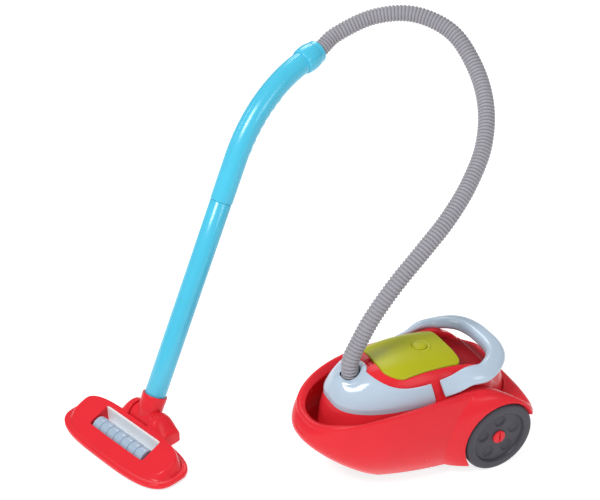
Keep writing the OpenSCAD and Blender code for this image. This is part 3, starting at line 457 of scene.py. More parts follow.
def skirt_grid():
    """Closed cross-sections carried round the canister. Each is a parabola through the foot, the
    fullest line and the rim, then a soft crest to the inner edge on the dome and back down inside.
    Where the wheel arch cuts in, the outer and the inner line stop at the arch's circle."""
    front = np.radians(np.linspace(0, 90, 150))
    side = np.arccos(-np.linspace(0, 0.92, 130)[1:] ** 2.2)
    half_turn = np.concatenate([front, side, np.linspace(side[-1], np.pi, 60)[1:]])
    a = np.concatenate([half_turn, 2 * np.pi - half_turn[-2:0:-1]])
    rim = plan(a, half=70, mid=dome_mid, nose=rim_nose, tail=128, n=2.5, m=6)
    full = plan(a, half=77, mid=-45, nose=176, tail=92, n=2.2, m=5)
    foot = plan(a, half=68, mid=-30, nose=172, tail=66, n=1.8, m=3)
    full_in = plan(a, half=73, mid=-45, nose=172, tail=88, n=2.2, m=5)
    foot_in = plan(a, half=63, mid=-30, nose=167, tail=61, n=1.8, m=3)
    rim_z = rim_height(rim[:, 1])
    foot_z = skirt_z + toe_rise * clip((toe_from - foot[:, 1]) / toe_run) ** 1.6
    full_z = 0.45 * (rim_z - lip_drop) + 0.55 * foot_z

    def outer(k):
        """Outer face at share k: the parabola through foot, fullest line and rim, plus the fender."""
        p = (np.column_stack([foot, foot_z]) * ((1 - k) * (1 - 2 * k))[..., None]
             + np.column_stack([full, full_z]) * (4 * k * (1 - k))[..., None]
             + np.column_stack([rim, rim_z - lip_drop]) * (k * (2 * k - 1))[..., None])
        return p + fender(p)

    y = rim[:, 1]
    beside = clip((y - dome_mid) / side_run)
    edge_z = rim_z + side_step * beside - 5.5 * smooth((y + 205) / 35) * (1 - smooth(beside))
    ray = rim - np.array([0.0, dome_mid])
    ray = ray / np.linalg.norm(ray, axis=1)[:, None]
    reach = reach_of(ray, dome_half, dome_nose, dome_n)

    def inside(drop, gap):
        """Plan line where the dome passes drop below the crest, moved out by gap and by the loop."""
        def over(far):
            """Whether the dome is still above that height at distance far."""
            return roof(ray[:, 0] * far, dome_mid + ray[:, 1] * far) > edge_z - drop

        far = halved(0.72 * reach, reach, over, 24) + gap + loop_gap * np.maximum(np.cos(a), 0) ** 1.2
        return np.stack([ray[:, 0] * far, dome_mid + ray[:, 1] * far], -1)

    lip, wall = inside(1.5, 0.8), inside(9.0, 2.4)
    knots = np.stack([np.column_stack([lip, edge_z - 1.5]), np.column_stack([wall, edge_z - 9]),
                      np.column_stack([full_in, full_z]), np.column_stack([foot_in, foot_z])])
    knots[2:] += fender(knots[2:], wheel_face - skirt_wall)

    def inner(q):
        """Inner face at place q, straight between its four knots."""
        k = np.clip(np.floor(q).astype(int), 0, 2)
        t = (q - k)[..., None]
        col = np.arange(len(a))
        return knots[k, col] * (1 - t) + knots[k + 1, col] * t

    def cut(p):
        """Whether points lie inside the wheel arch."""
        return (np.hypot(p[..., 1], p[..., 2] - wheel_r) < arch_r) & (np.abs(p[..., 0]) > arch_x)

    last = 239
    tries = np.linspace(0, 1, last + 1)[:, None] * np.ones(len(a))
    hit = cut(outer(tries))
    k0 = np.where(hit.any(0), (last - np.argmax(hit[::-1], axis=0)) / last, 0.0)
    hit = cut(inner(tries * 3))
    q1 = np.where(hit.any(0), np.argmax(hit, axis=0) / last * 3, 3.0)
    rows_out = outer(k0 + (1 - k0) * np.linspace(0, 1, 56)[:, None])
    t = np.linspace(0, 1, 22)[1:-1, None]
    crest_at = (0, 0.03, 0.08, 0.15, 0.3, 0.45, 0.65, 0.85, 0.95, 1)
    crest_h = (-3, -1.4, -0.1, 0.8, 1.6, 1.8, 1.3, 0.4, -0.4, -1.5)
    top_z = rim_z + (edge_z - rim_z) * t + np.interp(t, crest_at, crest_h)
    top = np.concatenate([rim + (lip - rim) * t[..., None], top_z[..., None]], -1)
    top = top + fender(top) * (1 - t)[..., None]
    rows_in = inner(q1 * np.linspace(0, 1, 34)[:, None])
    s = np.linspace(0, 1, 8)[1:-1, None, None]
    under = rows_in[-1] * (1 - s) + rows_out[0] * s
    under[..., 2] -= 0.7 * np.sin(np.pi * s[..., 0])
    return np.concatenate([rows_out, top, rows_in, under]) + canister_at


skirt = moulding("skirt_housing", [skin(skirt_grid(), ring=True)], red_plastic, crease=50.0)
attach(skirt, "canister")
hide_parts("skirt")

# Base plate and its four screws. A flat black plastic tray closes the dome from below and carries
# the caster's pivot; steel screws hold it to posts inside the dome. The solids are used as they are.
black_paint = (48, 48, 55)
black_plastic = moulded_plastic("grained_black_plastic", black_paint, 0.5, grain=500.0, relief=0.06)


def plated_steel(name, rgb, rough):
    """Bright plated steel: metal whose roughness and bump follow fine noise."""
    finish = bpy.data.materials.new(name)
    finish.use_nodes = True
    links, shader = finish.node_tree.links, finish.node_tree.nodes["Principled BSDF"]
    shader.inputs["Base Color"].default_value = linear(rgb)
    shader.inputs["Metallic"].default_value = 1.0
    place = shader_node(finish, "TexCoord", {}).outputs["Object"]
    drawn = shader_node(finish, "TexNoise", {"Vector": place, "Scale": 700.0, "Detail": 4.0}).outputs["Fac"]
    span = shader_node(finish, "MapRange", {"Value": drawn, "To Min": rough - 0.08, "To Max": rough + 0.12})
    links.new(span.outputs["Result"], shader.inputs["Roughness"])
    bump = shader_node(finish, "Bump", {"Strength": 0.06, "Distance": 0.0003, "Height": drawn})
    links.new(bump.outputs["Normal"], shader.inputs["Normal"])
    return finish


def dress(node, finish):
    """The finish on every material slot of a solid that is kept as it is."""
    solid = bpy.data.objects[node] if node in bpy.data.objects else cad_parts[node]
    if not solid.material_slots:
        solid.data.materials.append(finish)
    for place in solid.material_slots:
        place.material = finish


bright_steel = plated_steel("plated_steel", (190, 190, 194), 0.28)
dress("base_plate", black_plastic)
dress("base_screws", bright_steel)

# Front trim. A pale grey-blue plastic horseshoe that lies on the dome's nose, with a low boss
# before the hose and a fine lip round it; its two arms end short of the handle.
pale_paint = (182, 200, 217)
trim_lift, trim_z, trim_edge, socket_z = 2.2, 109.0, 1.3, 131.0
boss_h, boss_w, boss_l, boss_ahead = 8.5, 16.0, 9.0, 17.0
mouth_half, mouth_nose, mouth_n = 48.0, 72.0, 3
hole_r, hole_top, hole_low = 16.4, 112.0, 111.5


def circle(count):
    """Angles of a full turn in count equal steps."""
    return np.linspace(0, 2 * np.pi, count, endpoint=False)


def dome_point(a, r):
    """Point of the dome's plan at angle a from the front and share r of its size."""
    x = dome_half * r * spow(np.sin(a), 2 / dome_n)
    return np.stack([x, dome_mid - dome_nose * r * spow(np.cos(a), 2 / dome_n)], -1)


def trim_skins():
    """A sheet between an outer edge, where the lifted dome passes the trim's foot, and an inner
    superellipse, with rounded edges and a bell-shaped boss; and a lip round the hose's hole."""

    def face(x, y):
        """The lifted dome plus the bell of the boss."""
        bell = np.exp(-(x / boss_w) ** 2 - ((y - socket_y + boss_ahead) / boss_l) ** 2)
        return roof(x, y, trim_lift) + boss_h * bell

    bunch = 0.92 * np.pi / 2
    a = np.radians(88 * np.sin(np.linspace(-bunch, bunch, 260)) / math.sin(bunch))

    def over(share):
        """Whether the lifted dome is still above the trim's foot at that share of the plan."""
        p = dome_point(a, share)
        return roof(*p.T, trim_lift) > trim_z

    outside = dome_point(a, halved(np.full(len(a), 0.72), np.full(len(a), 1.02), over, 26))
    e = 2 / mouth_n
    within = np.stack([mouth_half * spow(np.sin(a), e), dome_mid - mouth_nose * spow(np.cos(a), e)], -1)
    edge = np.array([0.0, 0.12, 0.35, 0.75, 1.3]) / 40
    v = np.concatenate([edge, np.linspace(0.055, 1 - 0.055, 60), 1 - edge[::-1]])
    spot = outside + (within - outside) * v[:, None, None]
    to_edge = np.minimum(v, 1 - v)[:, None] * np.linalg.norm(within - outside, axis=1)
    run = running(spot[30])
    to_end = np.minimum(run, run[-1] - run)[None, :]
    near = np.clip(np.minimum(to_edge, to_end), 0, trim_edge)
    drop = trim_edge - np.sqrt(np.maximum(trim_edge ** 2 - (trim_edge - near) ** 2, 0))
    x, y = spot[..., 0], spot[..., 1]
    well = np.hypot(x, y - socket_y) < hole_r
    top = np.where(well, hole_top, face(x, y) - drop)
    low = np.where(well, hole_low, roof(x, y, 0.2))
    upper = np.stack([x, y, np.maximum(top, low + 0.05)], -1)
    sheet = np.concatenate([upper, np.stack([x, y, low], -1)[::-1]])
    turn = circle(160)
    rows = []
    for r, dz in ((14.55, -16.0), (14.55, None), (11.7, None), (11.6, -0.1), (11.75, 0.15), (12.1, 0.3),
                  (12.6, 0.3), (13.6, 0.2), (14.8, 0.12), (16.2, 0.05), (17.4, 0.0), (18.4, -0.6),
                  (17.6, -1.2)):
        x, y = r * np.cos(turn), socket_y + r * np.sin(turn)
        z = np.maximum(face(x, y), socket_z + 0.4) if abs(dz or 0) < 0.5 and r < 16 else face(x, y)
        z = np.full(len(turn), socket_z + 0.1) if dz is None else z + dz
        rows.append(np.column_stack([x, y, z]))
    return [skin(sheet + canister_at, ring=True, tube=False), skin(np.stack(rows) + canister_at, ring=True)]


pale_plastic = moulded_plastic("satin_pale_plastic", pale_paint, 0.15, gloss=0.5)
front_trim = moulding("front_trim_horseshoe", trim_skins(), pale_plastic, crease=50.0)
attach(front_trim, "canister")
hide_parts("front_trim")

# Hose socket. A pale plastic bush set into the dome through the trim; it holds the flange of the
# hose's cuff down and lets it turn. The solid is used as it is.
dress("hose_socket", pale_plastic)

# Carry handle. One thick pale plastic bow: two arms lie on the shoulders and run back into
# a round bar behind the lid. It is moulded with a rounded rectangular section.


def spline(points, u):
    """Smooth curve through points at places u, cubic between neighbours (Catmull-Rom)."""
    k = np.clip(np.floor(u).astype(int), 0, len(points) - 2)
    t = (u - k)[:, None]
    a, b = points[np.maximum(k - 1, 0)], points[k]
    c, d = points[k + 1], points[np.minimum(k + 2, len(points) - 1)]
    square, cube = 2 * a - 5 * b + 4 * c - d, 3 * b - a - 3 * c + d
    return b + (c - a) * t / 2 + square * t ** 2 / 2 + cube * t ** 3 / 2


def unit(v):
    """Vectors made one long."""
    return v / np.linalg.norm(v, axis=-1, keepdims=True)


def handle_grid():
    """A superellipse section carried along the bow. Its stations give place, width, thickness and
    outward tilt; the arms follow the shoulders, the bar is level, and both ends are rounded off."""
    arms = np.array([[-66, 20, 4.5, 54], [-50, 21, 7, 52], [-32, 22, 11, 45], [-12, 22.5, 14, 35]], float)
    tilt = np.radians(arms[:, 3])
    seat = arms[:, 2] / 2 + 1.4
    rest = roof(np.full(4, arm_x), arms[:, 0]) + np.cos(tilt) * seat + 1.2
    near = np.column_stack([arm_x + np.sin(tilt) * seat, arms[:, 0], rest])
    bar = np.array([[47, 6, bar_z - 1], [35, 17, bar_z], [18, 23, bar_z], [0, bar_y, bar_z]], float)
    half = np.concatenate([near, bar])
    size = np.concatenate([arms[:, 1:], [[22.5, 16, lean] for lean in (23, 13, 8, 8)]])
    path = np.concatenate([half, half[-2::-1] * (-1, 1, 1)])
    size = np.concatenate([size, size[-2::-1]])
    last, tip_u = len(path) - 1, 0.16
    tip = tip_u * (1 - np.cos(np.linspace(0, np.pi / 2, 16)))
    u = np.concatenate([tip, np.linspace(tip_u, last - tip_u, 300)[1:-1], last - tip[::-1]])
    c, s = spline(path, u), spline(size, u)
    t = unit(spline(path, np.minimum(u + 0.02, last)) - spline(path, np.maximum(u - 0.02, 0)))
    side = unit(np.cross(t, (0.0, 0.0, 1.0)))
    lean = np.radians(s[:, 2:])
    n = np.cross(side, t) * np.cos(lean) + side * np.sin(lean)
    w = np.cross(n, t)
    end = np.minimum(np.minimum(u, last - u) / tip_u, 1)
    shrink = np.sqrt(np.maximum(1 - (1 - end) ** 2, 0))
    f = circle(64)
    thick = (s[:, 1] / 2 * (0.45 + 0.55 * shrink))[:, None, None] * spow(np.cos(f), 0.75)[:, None]
    wide = (s[:, 0] / 2 * (0.84 + 0.16 * shrink))[:, None, None] * spow(np.sin(f), 0.75)[:, None]
    return c[:, None] + n[:, None] * thick + w[:, None] * wide + canister_at


carry_handle = moulding("carry_handle_bow", [skin(handle_grid(), caps=True)], pale_plastic)
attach(carry_handle, "canister")
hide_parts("carry_handle")

# Lid. A thin lime plastic hatch that follows the dome, with a level ring round the push button and
# two knuckles under its rear edge that turn on a steel pin across the recess.
lime_paint = (178, 180, 28)
lid_t, button_y = 2.6, -65.0
ring_r, ring_edge, ring_rise = 12.2, 1.3, 0.25
button_z = float(roof(np.array(0.0), np.array(button_y)))
hinge_y = lid_rear - 3.5
hinge_z = float(roof(np.array(lid_half + 1.5), np.array(hinge_y))) - 7.5


def turned(profile, count=96, bend=0.0, steps=5):
    """A profile of radius and height turned round the upright axis. Its corners are first eased by
    parabolas that reach bend to each side, or a third of the shorter side."""
    p = np.array(profile, float)
    if bend > 0:
        before, after = np.roll(p, 1, axis=0) - p, np.roll(p, -1, axis=0) - p
        la, lb = np.linalg.norm(before, axis=1), np.linalg.norm(after, axis=1)
        ease = np.minimum(bend, np.minimum(la, lb) / 3)[:, None]
        a, b = p + before / la[:, None] * ease, p + after / lb[:, None] * ease
        t = np.linspace(0, 1, steps)[None, :, None]
        soft = a[:, None] * (1 - t) ** 2 + 2 * p[:, None] * t * (1 - t) + b[:, None] * t ** 2
        p = soft.reshape(-1, 2)
    turn = circle(count)
    r, h = np.maximum(p[:, :1], 0), p[:, 1:]
    return np.stack([r * np.cos(turn), r * np.sin(turn), h + 0 * turn], -1)


def crosswise(p):
    """Points turned round an upright axis, laid along X."""
    return np.stack([p[..., 2], p[..., 0], p[..., 1]], -1)


def lid_skins():
    """Rays from the button's middle to the outline. The upper face starts at the button hole,
    crosses the level ring and follows the dome to a rounded edge; the lower face comes back
    a wall's thickness below. The knuckles are short drums on straps."""
    rim = rounded_loop(lid_front, lid_rear, lid_half, r0=16.0, r1=7.0, count=480)
    out = rim - np.array([0.0, button_y])
    far = np.linalg.norm(out, axis=1)
    ray = out / far[:, None]

    def along(r):
        """Plan points at radius r on the rays from the button's middle."""
        return np.stack([ray[:, 0] * r, button_y + ray[:, 1] * r], -1)

    def face(x, y):
        """The dome, raised to a level ring round the button."""
        z = roof(x, y)
        level = 1 - smooth((np.hypot(x, y - button_y) - ring_r) / ring_edge)
        return z + np.maximum(button_z + ring_rise - z, 0) * level

    hole = ((9.35, 5.4), (9.35, 0.6), (9.45, 0.25), (9.75, 0.05))
    ring = (10.2, 11.6, 12.1, 12.4, 12.8, 13.2, 13.7, 14.5)
    rows = [raised(along(r), face, d) for r, d in hole] + [raised(along(r), face) for r in ring]
    rows += [raised(along(14.5 + (far - 15.5) * s), face) for s in np.linspace(0, 1, 50)[1:]]
    rows += [raised(along(far - e), face, 1 - math.sqrt(1 - (1 - e) ** 2)) for e in (0.6, 0.3, 0.1, 0.0)]
    for e, d in ((0.0, lid_t - 0.4), (0.15, lid_t - 0.1), (0.5, lid_t)):
        rows.append(raised(along(far - e), roof, d))
    rows += [raised(along(far - 1 + (13.4 - far + 1) * s), roof, lid_t) for s in np.linspace(0, 1, 24)]
    rows.append(np.column_stack([along(12.5), np.full(len(far), button_z - 5.4)]))
    skins = [skin(np.stack(rows) + canister_at, ring=True)]
    drum = crosswise(turned([(2.06, 20), (3.1, 20), (3.4, 20.3), (3.4, 28.7), (3.1, 29), (2.06, 29)], 40))
    turn = circle(40)
    box = 0.5 * spow(np.stack([np.cos(turn), np.sin(turn)], -1), 0.35)
    for side in (1, -1):
        skins.append(skin(drum * (side, 1, 1) + (0, hinge_y, hinge_z) + canister_at, ring=True))
        x, y = side * (24.5 + 8.6 * box[:, 0]), hinge_y + 3.8 * box[:, 1]
        strap = [np.column_stack([x, y, hinge_z + h + 0 * x]) for h in (2.4, 3.4, 6.0)]
        strap.append(np.column_stack([x, y, roof(x, y) - 1.2]))
        skins.append(skin(np.stack(strap) + canister_at, caps=True))
    return skins


lime_plastic = moulded_plastic("satin_lime_plastic", lime_paint, 0.34)
lid = moulding("lid_hatch", lid_skins(), lime_plastic, crease=45.0)
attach(lid, "lid")
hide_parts("lid")
dress("lid_pin", bright_steel)

# Push button, its cup and its spring. A lime plastic cap rises in the lid's ring; a black cup
# pressed into the lid from below holds it and a wire spring that lifts it.
cap_profile = [(0.0, -7.2), (9.6, -7.2), (9.6, -5.9), (9.0, -5.9), (9.0, 0.9), (8.3, 1.5), (7.6, 1.5),
               (7.2, 2.2), (6.2, 2.6), (4.0, 2.85), (2.0, 2.97), (0.0, 3.0)]
cap = turned(cap_profile, bend=0.5) + canister_at + (0, button_y, button_z)
button = moulding("push_button_cap", [skin(cap, ring=True)], lime_plastic)
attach(button, "button")
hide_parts("lid_button")
dress("button_cup", black_plastic)
spring_foot, spring_h, press = button_z - 15.0, 7.8, 2.5
coil_r, coil_turns, wire_r = 4.4, 4, 0.48


def spring_grid():
    """Round wire along a helix, whose first and last turns lie nearly flat."""
    u = np.linspace(0, 1, 400)
    turn = 2 * np.pi * coil_turns * u
    rise = 0.5 + (spring_h - 1) * smooth(u)
    line = np.stack([coil_r * np.cos(turn), coil_r * np.sin(turn), rise], -1)
    t = unit(np.gradient(line, axis=0))
    a = unit(np.stack([line[:, 0], line[:, 1], 0 * u], -1))
    b = np.cross(t, a)
    f = circle(12)[:, None]
    wire = line[:, None] + wire_r * (a[:, None] * np.cos(f) + b[:, None] * np.sin(f))
    return wire + canister_at + (0, button_y, spring_foot)


spring = moulding("button_spring_coil", [skin(spring_grid(), caps=True)], bright_steel)
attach(spring, "lid")
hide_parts("button_spring")
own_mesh(spring)

# Rear wheels. Two dark grey plastic wheels with a rounded tread, a dished face and five shallow
# round pockets; each turns on a red pin pushed through its hub into the dome's boss.
hub_x, axle_r, pin_head_x = 78.8, 5.0, 79.2
pocket_count, pocket_ring, pocket_r, pocket_deep = 5, 22.05, 5.4, 1.8


def wheel_grid(side):
    """Rings from the hub's bore out over the dished face, round the tread and back inside. On the
    face, soft-edged pockets are pressed in by a step of the distance to their middles."""
    r_face = np.concatenate([[axle_r + 0.06, axle_r + 0.3], np.linspace(6, 33, 76), [33.3, 33.8, 34.2]])
    x_face = np.full(len(r_face), hub_x)
    x_face[-3:] = (hub_x + 0.5, wheel_face - 0.9, wheel_face - 0.35)
    x_face[0] -= 0.3
    rim = np.array([(35, -0.05), (37, 0), (40, 0), (42, -0.12), (43, -0.45), (44, -1.3), (44.6, -2.4),
                    (45, -4), (45, -8), (45, -12), (45, -16), (45, -20), (44.7, -22.2), (44, -23.4),
                    (43, -24), (40, -24), (38.4, -23.6), (37.6, -22.5), (37, -14), (36, -13.8), (14, -13.8),
                    (13.2, -14.4), (13, -23.6), (12.6, -24), (5.5, -24), (5.06, -23.7)])
    r, x = np.concatenate([r_face, rim[:, 0]]), np.concatenate([x_face, wheel_face + rim[:, 1]])
    front = (np.arange(len(r)) < len(r_face) - 3)[:, None]
    x, y, z = np.moveaxis(crosswise(turned(np.column_stack([r, x]), 400)), -1, 0)
    for k in range(pocket_count):
        b = math.radians(90 + 360 / pocket_count * k)
        d = np.hypot(y - pocket_ring * math.cos(b), z - pocket_ring * math.sin(b))
        x = x - np.where(front, pocket_deep * (1 - smooth((d - pocket_r) / 3.2)), 0)
    return np.stack([side * x, y, z + wheel_r], -1) + canister_at


wheel_paint = (66, 65, 73)
wheel_plastic = moulded_plastic("grained_wheel_plastic", wheel_paint, 0.42, grain=650.0, relief=0.05)
for name, side in (("wheel_left", 1), ("wheel_right", -1)):
    wheel = moulding(name + "_moulded", [skin(wheel_grid(side), ring=True)], wheel_plastic)
    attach(wheel, name)
    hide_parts(name)


def pin_grid(side):
    """A turned pin with a domed head, whose top is cut by one straight slot."""
    slot_half, slot_edge, slot_from, slot_floor = 0.85, 0.3, 80.3, 80.4
    dome = np.linspace(6.7, 0, 60)
    r = np.concatenate([[0.0, 4.4, axle_r, axle_r], [8.0, 8.0, 7.9, 7.6, 7.1], dome])
    h = np.concatenate([[0.0, 1.3, 1.6, 1.95, 2.2], 2.3 + 0.35 * (1 - (dome / 6.7) ** 2)]) + pin_head_x
    h = np.concatenate([[38.0, 38.0, 38.6, pin_head_x], h])
    flat = turned(np.column_stack([r, h]), 120)
    groove = (1 - smooth((np.abs(flat[..., 0]) - slot_half) / slot_edge)) * (flat[..., 2] > slot_from)
    across = np.where(groove > 0, flat[..., 2] + (slot_floor - flat[..., 2]) * groove, flat[..., 2])
    return np.stack([side * across, flat[..., 0], flat[..., 1] + wheel_r], -1) + canister_at


for name, side in (("axle_pin_left", 1), ("axle_pin_right", -1)):
    pin = moulding(name + "_slotted", [skin(pin_grid(side), caps=True)], red_plastic)
    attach(pin, "canister")
    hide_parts(name)

# Front caster. A small black fork on an upright stem turns in the base plate and carries a black
# wheel on a steel axle, set back from the stem so that it trails. The solids are used as they are.
dress("caster_fork", black_plastic)
dress("caster_wheel", black_plastic)
dress("caster_axle", bright_steel)

# Hose and its cuff. A ribbed grey plastic hose, blow-moulded and springy enough to stand in an
# arch; one end is pressed into a black cuff that turns in the socket, the other into the collar.
head_at, head_turn = np.array([-51.2, -190.9, 0.0]), math.radians(20)
neck_at, lean = (0, 35, 24), math.radians(28.5)
bend_at, bend_r, bend_a, tail_l = 335.0, 178.0, math.radians(46), 14.0
grip_end = bend_at + bend_r * bend_a + tail_l
hose_r, rib_depth, rib_count = 10.0, 1.5, 160


def on_head(p):
    """Points of the floor head's own frame set on the floor and turned."""
    x = p[..., 0] * math.cos(head_turn) - p[..., 1] * math.sin(head_turn)
    y = p[..., 0] * math.sin(head_turn) + p[..., 1] * math.cos(head_turn)
    return np.stack([x, y, p[..., 2]], -1) + head_at


def tipped(p, angle):
    """Points turned about the X axis, so that Z leans towards Y by the angle."""
    y = p[..., 1] * math.cos(angle) + p[..., 2] * math.sin(angle)
    z = p[..., 2] * math.cos(angle) - p[..., 1] * math.sin(angle)
    return np.stack([p[..., 0], y, z], -1)


def on_wand(p):
    """Points of the wand's frame, whose Z runs up from the pivot, leaned back onto the head."""
    return on_head(tipped(p, lean) + neck_at)


def wand_line(d):
    """Place and turn of the wand's middle line at distance d: straight, an arc, straight."""
    turn = np.clip((d - bend_at) / bend_r, 0, bend_a)
    rest = np.maximum(d - bend_at - bend_a * bend_r, 0)
    y = bend_r * (1 - np.cos(turn)) + rest * np.sin(turn)
    z = np.minimum(d, bend_at) + bend_r * np.sin(turn) + rest * np.cos(turn)
    return np.stack([0 * d, y, z], -1), turn


hose_free = np.array([[0, -146, 170], [0, -128, 201], [-3, -98, 234], [-10, -62, 262], [-22, -23, 288],
                      [-41, 15, 315], [-67, 49, 345], [-102, 72, 378], [-144, 81, 410], [-187, 74, 439],
                      [-228, 46, 452], [-256, 6, 446], [-266, -38, 428]], float)
hose_foot = np.array([[0, socket_y, 110], [0, socket_y, socket_z], [0, socket_y, 150]], float)
hose_top = on_wand(wand_line(np.array([grip_end + 23.5, grip_end + 2.5]))[0])
hose_route = np.concatenate([hose_foot + canister_at, hose_free + canister_at, hose_top])
fine = spline(hose_route, np.linspace(0, len(hose_route) - 1, 1600))
hose_run = running(fine)
hose_length = float(hose_run[-1])


def hose_place(s):
    """Points of the hose's middle line at running lengths s."""
    return np.stack([np.interp(s, hose_run, fine[:, k]) for k in range(3)], -1)


def hose_grid():
    """Rings along the route. The radius swings between crest and groove once a rib, with rounded
    crests wider than the grooves."""
    s = np.linspace(0, hose_length, rib_count * 8 + 1)
    wave = 0.5 + 0.5 * np.cos(2 * np.pi * s * rib_count / hose_length)
    r = hose_r - rib_depth * (1 - wave ** 0.6)
    t = unit(hose_place(np.minimum(s + 1.5, hose_length)) - hose_place(np.maximum(s - 1.5, 0)))
    across = np.array([0.5, 0.5, -0.7])
    a = unit(across - t * (t @ across)[:, None])
    b = np.cross(a, t)
    f = circle(40)[:, None]
    return hose_place(s)[:, None] + r[:, None, None] * (a[:, None] * np.cos(f) + b[:, None] * np.sin(f))


hose_paint = (156, 154, 161)
# Painted shade darkens the grooves between the hose's ribs.
hose_plastic = moulded_plastic("ribbed_grey_hose", hose_paint, 0.46, grain=1200.0, relief=0.03, hollow_shade=0.75)
hose = moulding("ribbed_hose", [skin(hose_grid(), caps=True)], hose_plastic, crease=80.0, ease=0)
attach(hose, "wand")
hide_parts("hose")
dress("hose_cuff", black_plastic)

# Wand collar. A blue plastic knob pushed over the end of the grip; it swells in the middle and
# its narrow neck takes the hose.
blue_paint = (74, 190, 222)
blue_plastic = moulded_plastic("gloss_blue_plastic", blue_paint, 0.2, gloss=0.5)


def wand_turned(profile, d, bend):
    """A turned profile set on the wand's middle line at distance d, square to it."""
    c, turn = wand_line(np.array([float(d)]))
    return on_wand(tipped(turned(profile, bend=bend), turn[0]) + c[0])


collar_profile = [(13.85, -13), (14.8, -13), (15.8, -10.5), (16.4, -6), (16.65, -1), (16.4, 3.5), (15.6, 8),
                  (14.6, 10.2), (14.45, 15), (13.9, 16), (10.15, 16), (10.15, 2.5), (7.0, 2.5), (7.0, 0.5),
                  (13.85, 0.5)]
collar_grid = wand_turned(collar_profile, grip_end, bend=1.2)
collar = moulding("hose_collar_knob", [skin(collar_grid, ring=True)], blue_plastic)
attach(collar, "wand")
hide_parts("hose_collar")

# Grip. Two blue half shells joined along the wand's upper bend, with finger ridges under the hand
# and a fine seam before and behind.
spigot_r, grip_r, grip_at = 11.2, 13.8, 280.0
grip_edge, seam_deep, seam_w = 0.9, 0.3, 0.5
ridge_count, ridge_from, ridge_pitch, ridge_h = 7, 8.0, 12.0, 2.0


def grip_grid(side):
    """Half rings along the wand's bend, from the seam at the back to the seam at the front. Raised
    cosine ridges stand on the inner side of the bend, and the seam is a fine groove."""
    d = np.concatenate([grip_at + np.array([0, 0.15, 0.5, 1.0]), np.linspace(grip_at + 2, grip_end, 420)])
    c, turn = wand_line(d)
    n = np.stack([0 * d, np.cos(turn), -np.sin(turn)], -1)
    f = np.radians(90 * np.sin(np.linspace(-np.pi / 2, np.pi / 2, 46)))[None, :]
    t = (d - bend_at - ridge_from) / ridge_pitch
    ridge = np.where((t > 0) & (t < ridge_count), ridge_h * (0.5 - 0.5 * np.cos(2 * np.pi * t)), 0)[:, None]
    to_edge = grip_edge - np.minimum(d - grip_at, grip_edge)
    ease = -grip_edge + np.sqrt(np.maximum(grip_edge ** 2 - to_edge ** 2, 0))
    seam = -seam_deep * np.exp(-((np.pi / 2 - np.abs(f)) * grip_r / seam_w) ** 2)
    r = grip_r + ease[:, None] + seam
    lift = ridge * np.maximum(np.sin(f), 0) ** 2

    def half_rings(across, out):
        """Points set off from the bend's middle line, across to the side and out from the bend."""
        return c[:, None] + np.array([side, 0.0, 0.0]) * across[..., None] + n[:, None] * out[..., None]

    bore = spigot_r + 0.06 + 0 * r
    outer = half_rings(r * np.cos(f), r * np.sin(f) + lift)
    inner = half_rings(bore * np.cos(f), bore * np.sin(f))
    return on_wand(np.concatenate([outer, inner[:, ::-1]], axis=1))


for name, side in (("wand_grip_left", 1), ("wand_grip_right", -1)):
    half = moulding(name + "_shell", [skin(grip_grid(side), caps=True)], blue_plastic, crease=45.0)
    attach(half, "wand")
    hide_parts(name)

# Wand tube. A straight blue extruded tube. Its upper end is drawn narrower and fits inside
# the grip, and its lower end fits into the red neck.
tube_r, bore_r, tube_foot, tube_top = 13.2, 9.3, 14.0, 298.0
tube_profile = [(bore_r, tube_foot), (13.0, tube_foot), (tube_r, 14.3), (tube_r, 100), (tube_r, 200),
                (tube_r, 278.8), (12.6, 279.6), (spigot_r, 279.6), (spigot_r, tube_top), (bore_r, tube_top)]
tube = moulding("wand_tube_straight", [skin(on_wand(turned(tube_profile)), ring=True)], blue_plastic)
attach(tube, "wand")
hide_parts("wand_tube")

# Neck. A red plastic elbow: a cross barrel that tips between the head's cheeks on a steel pin, and
# a short sleeve with a rolled lip that holds the tube.
sleeve_profile = [(13.25, tube_foot), (13.25, 31), (13.9, 31.2), (15.2, 31.2), (15.6, 30.4), (15.6, 26),
                  (15.3, 22), (15.2, 12), (13.4, 1), (10.0, 0), (10.0, tube_foot)]
barrel_profile = [(3.06, -18), (12.6, -18), (14.0, -16.6), (14.0, 16.6), (12.6, 18), (3.06, 18)]
neck_skins = [skin(on_wand(turned(sleeve_profile, bend=0.6)), ring=True),
              skin(on_wand(crosswise(turned(barrel_profile, bend=0.8))), ring=True)]
neck = moulding("neck_elbow_sleeve", neck_skins, red_plastic)
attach(neck, "wand")
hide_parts("neck_elbow")
dress("neck_pin", bright_steel)

# Head cover. The red top of the floor head: a flat lip round a ramp that rises to the neck, a long
# window for the roller, and two cheeks that carry the neck's pin and slope down to the sides.
head_half, head_front, head_back, head_e = 97.0, 39.0, 33.0, 0.62
window_half, window_deep, plate_z = 50.0, 15.0, 4.0
cheek_in, cheek_out, cheek_y, cheek_r = 18.4, 42.0, 35.0, 16.0
ramp_z, ramp_y, ramp_slope, slot_y, slot_z = 12.0, -28.0, 0.38, 19.2, 8.6


def ramp(y):
    """Height of the cover's sloping top, a straight rise to the rear."""
    return ramp_z + (y - ramp_y) * ramp_slope


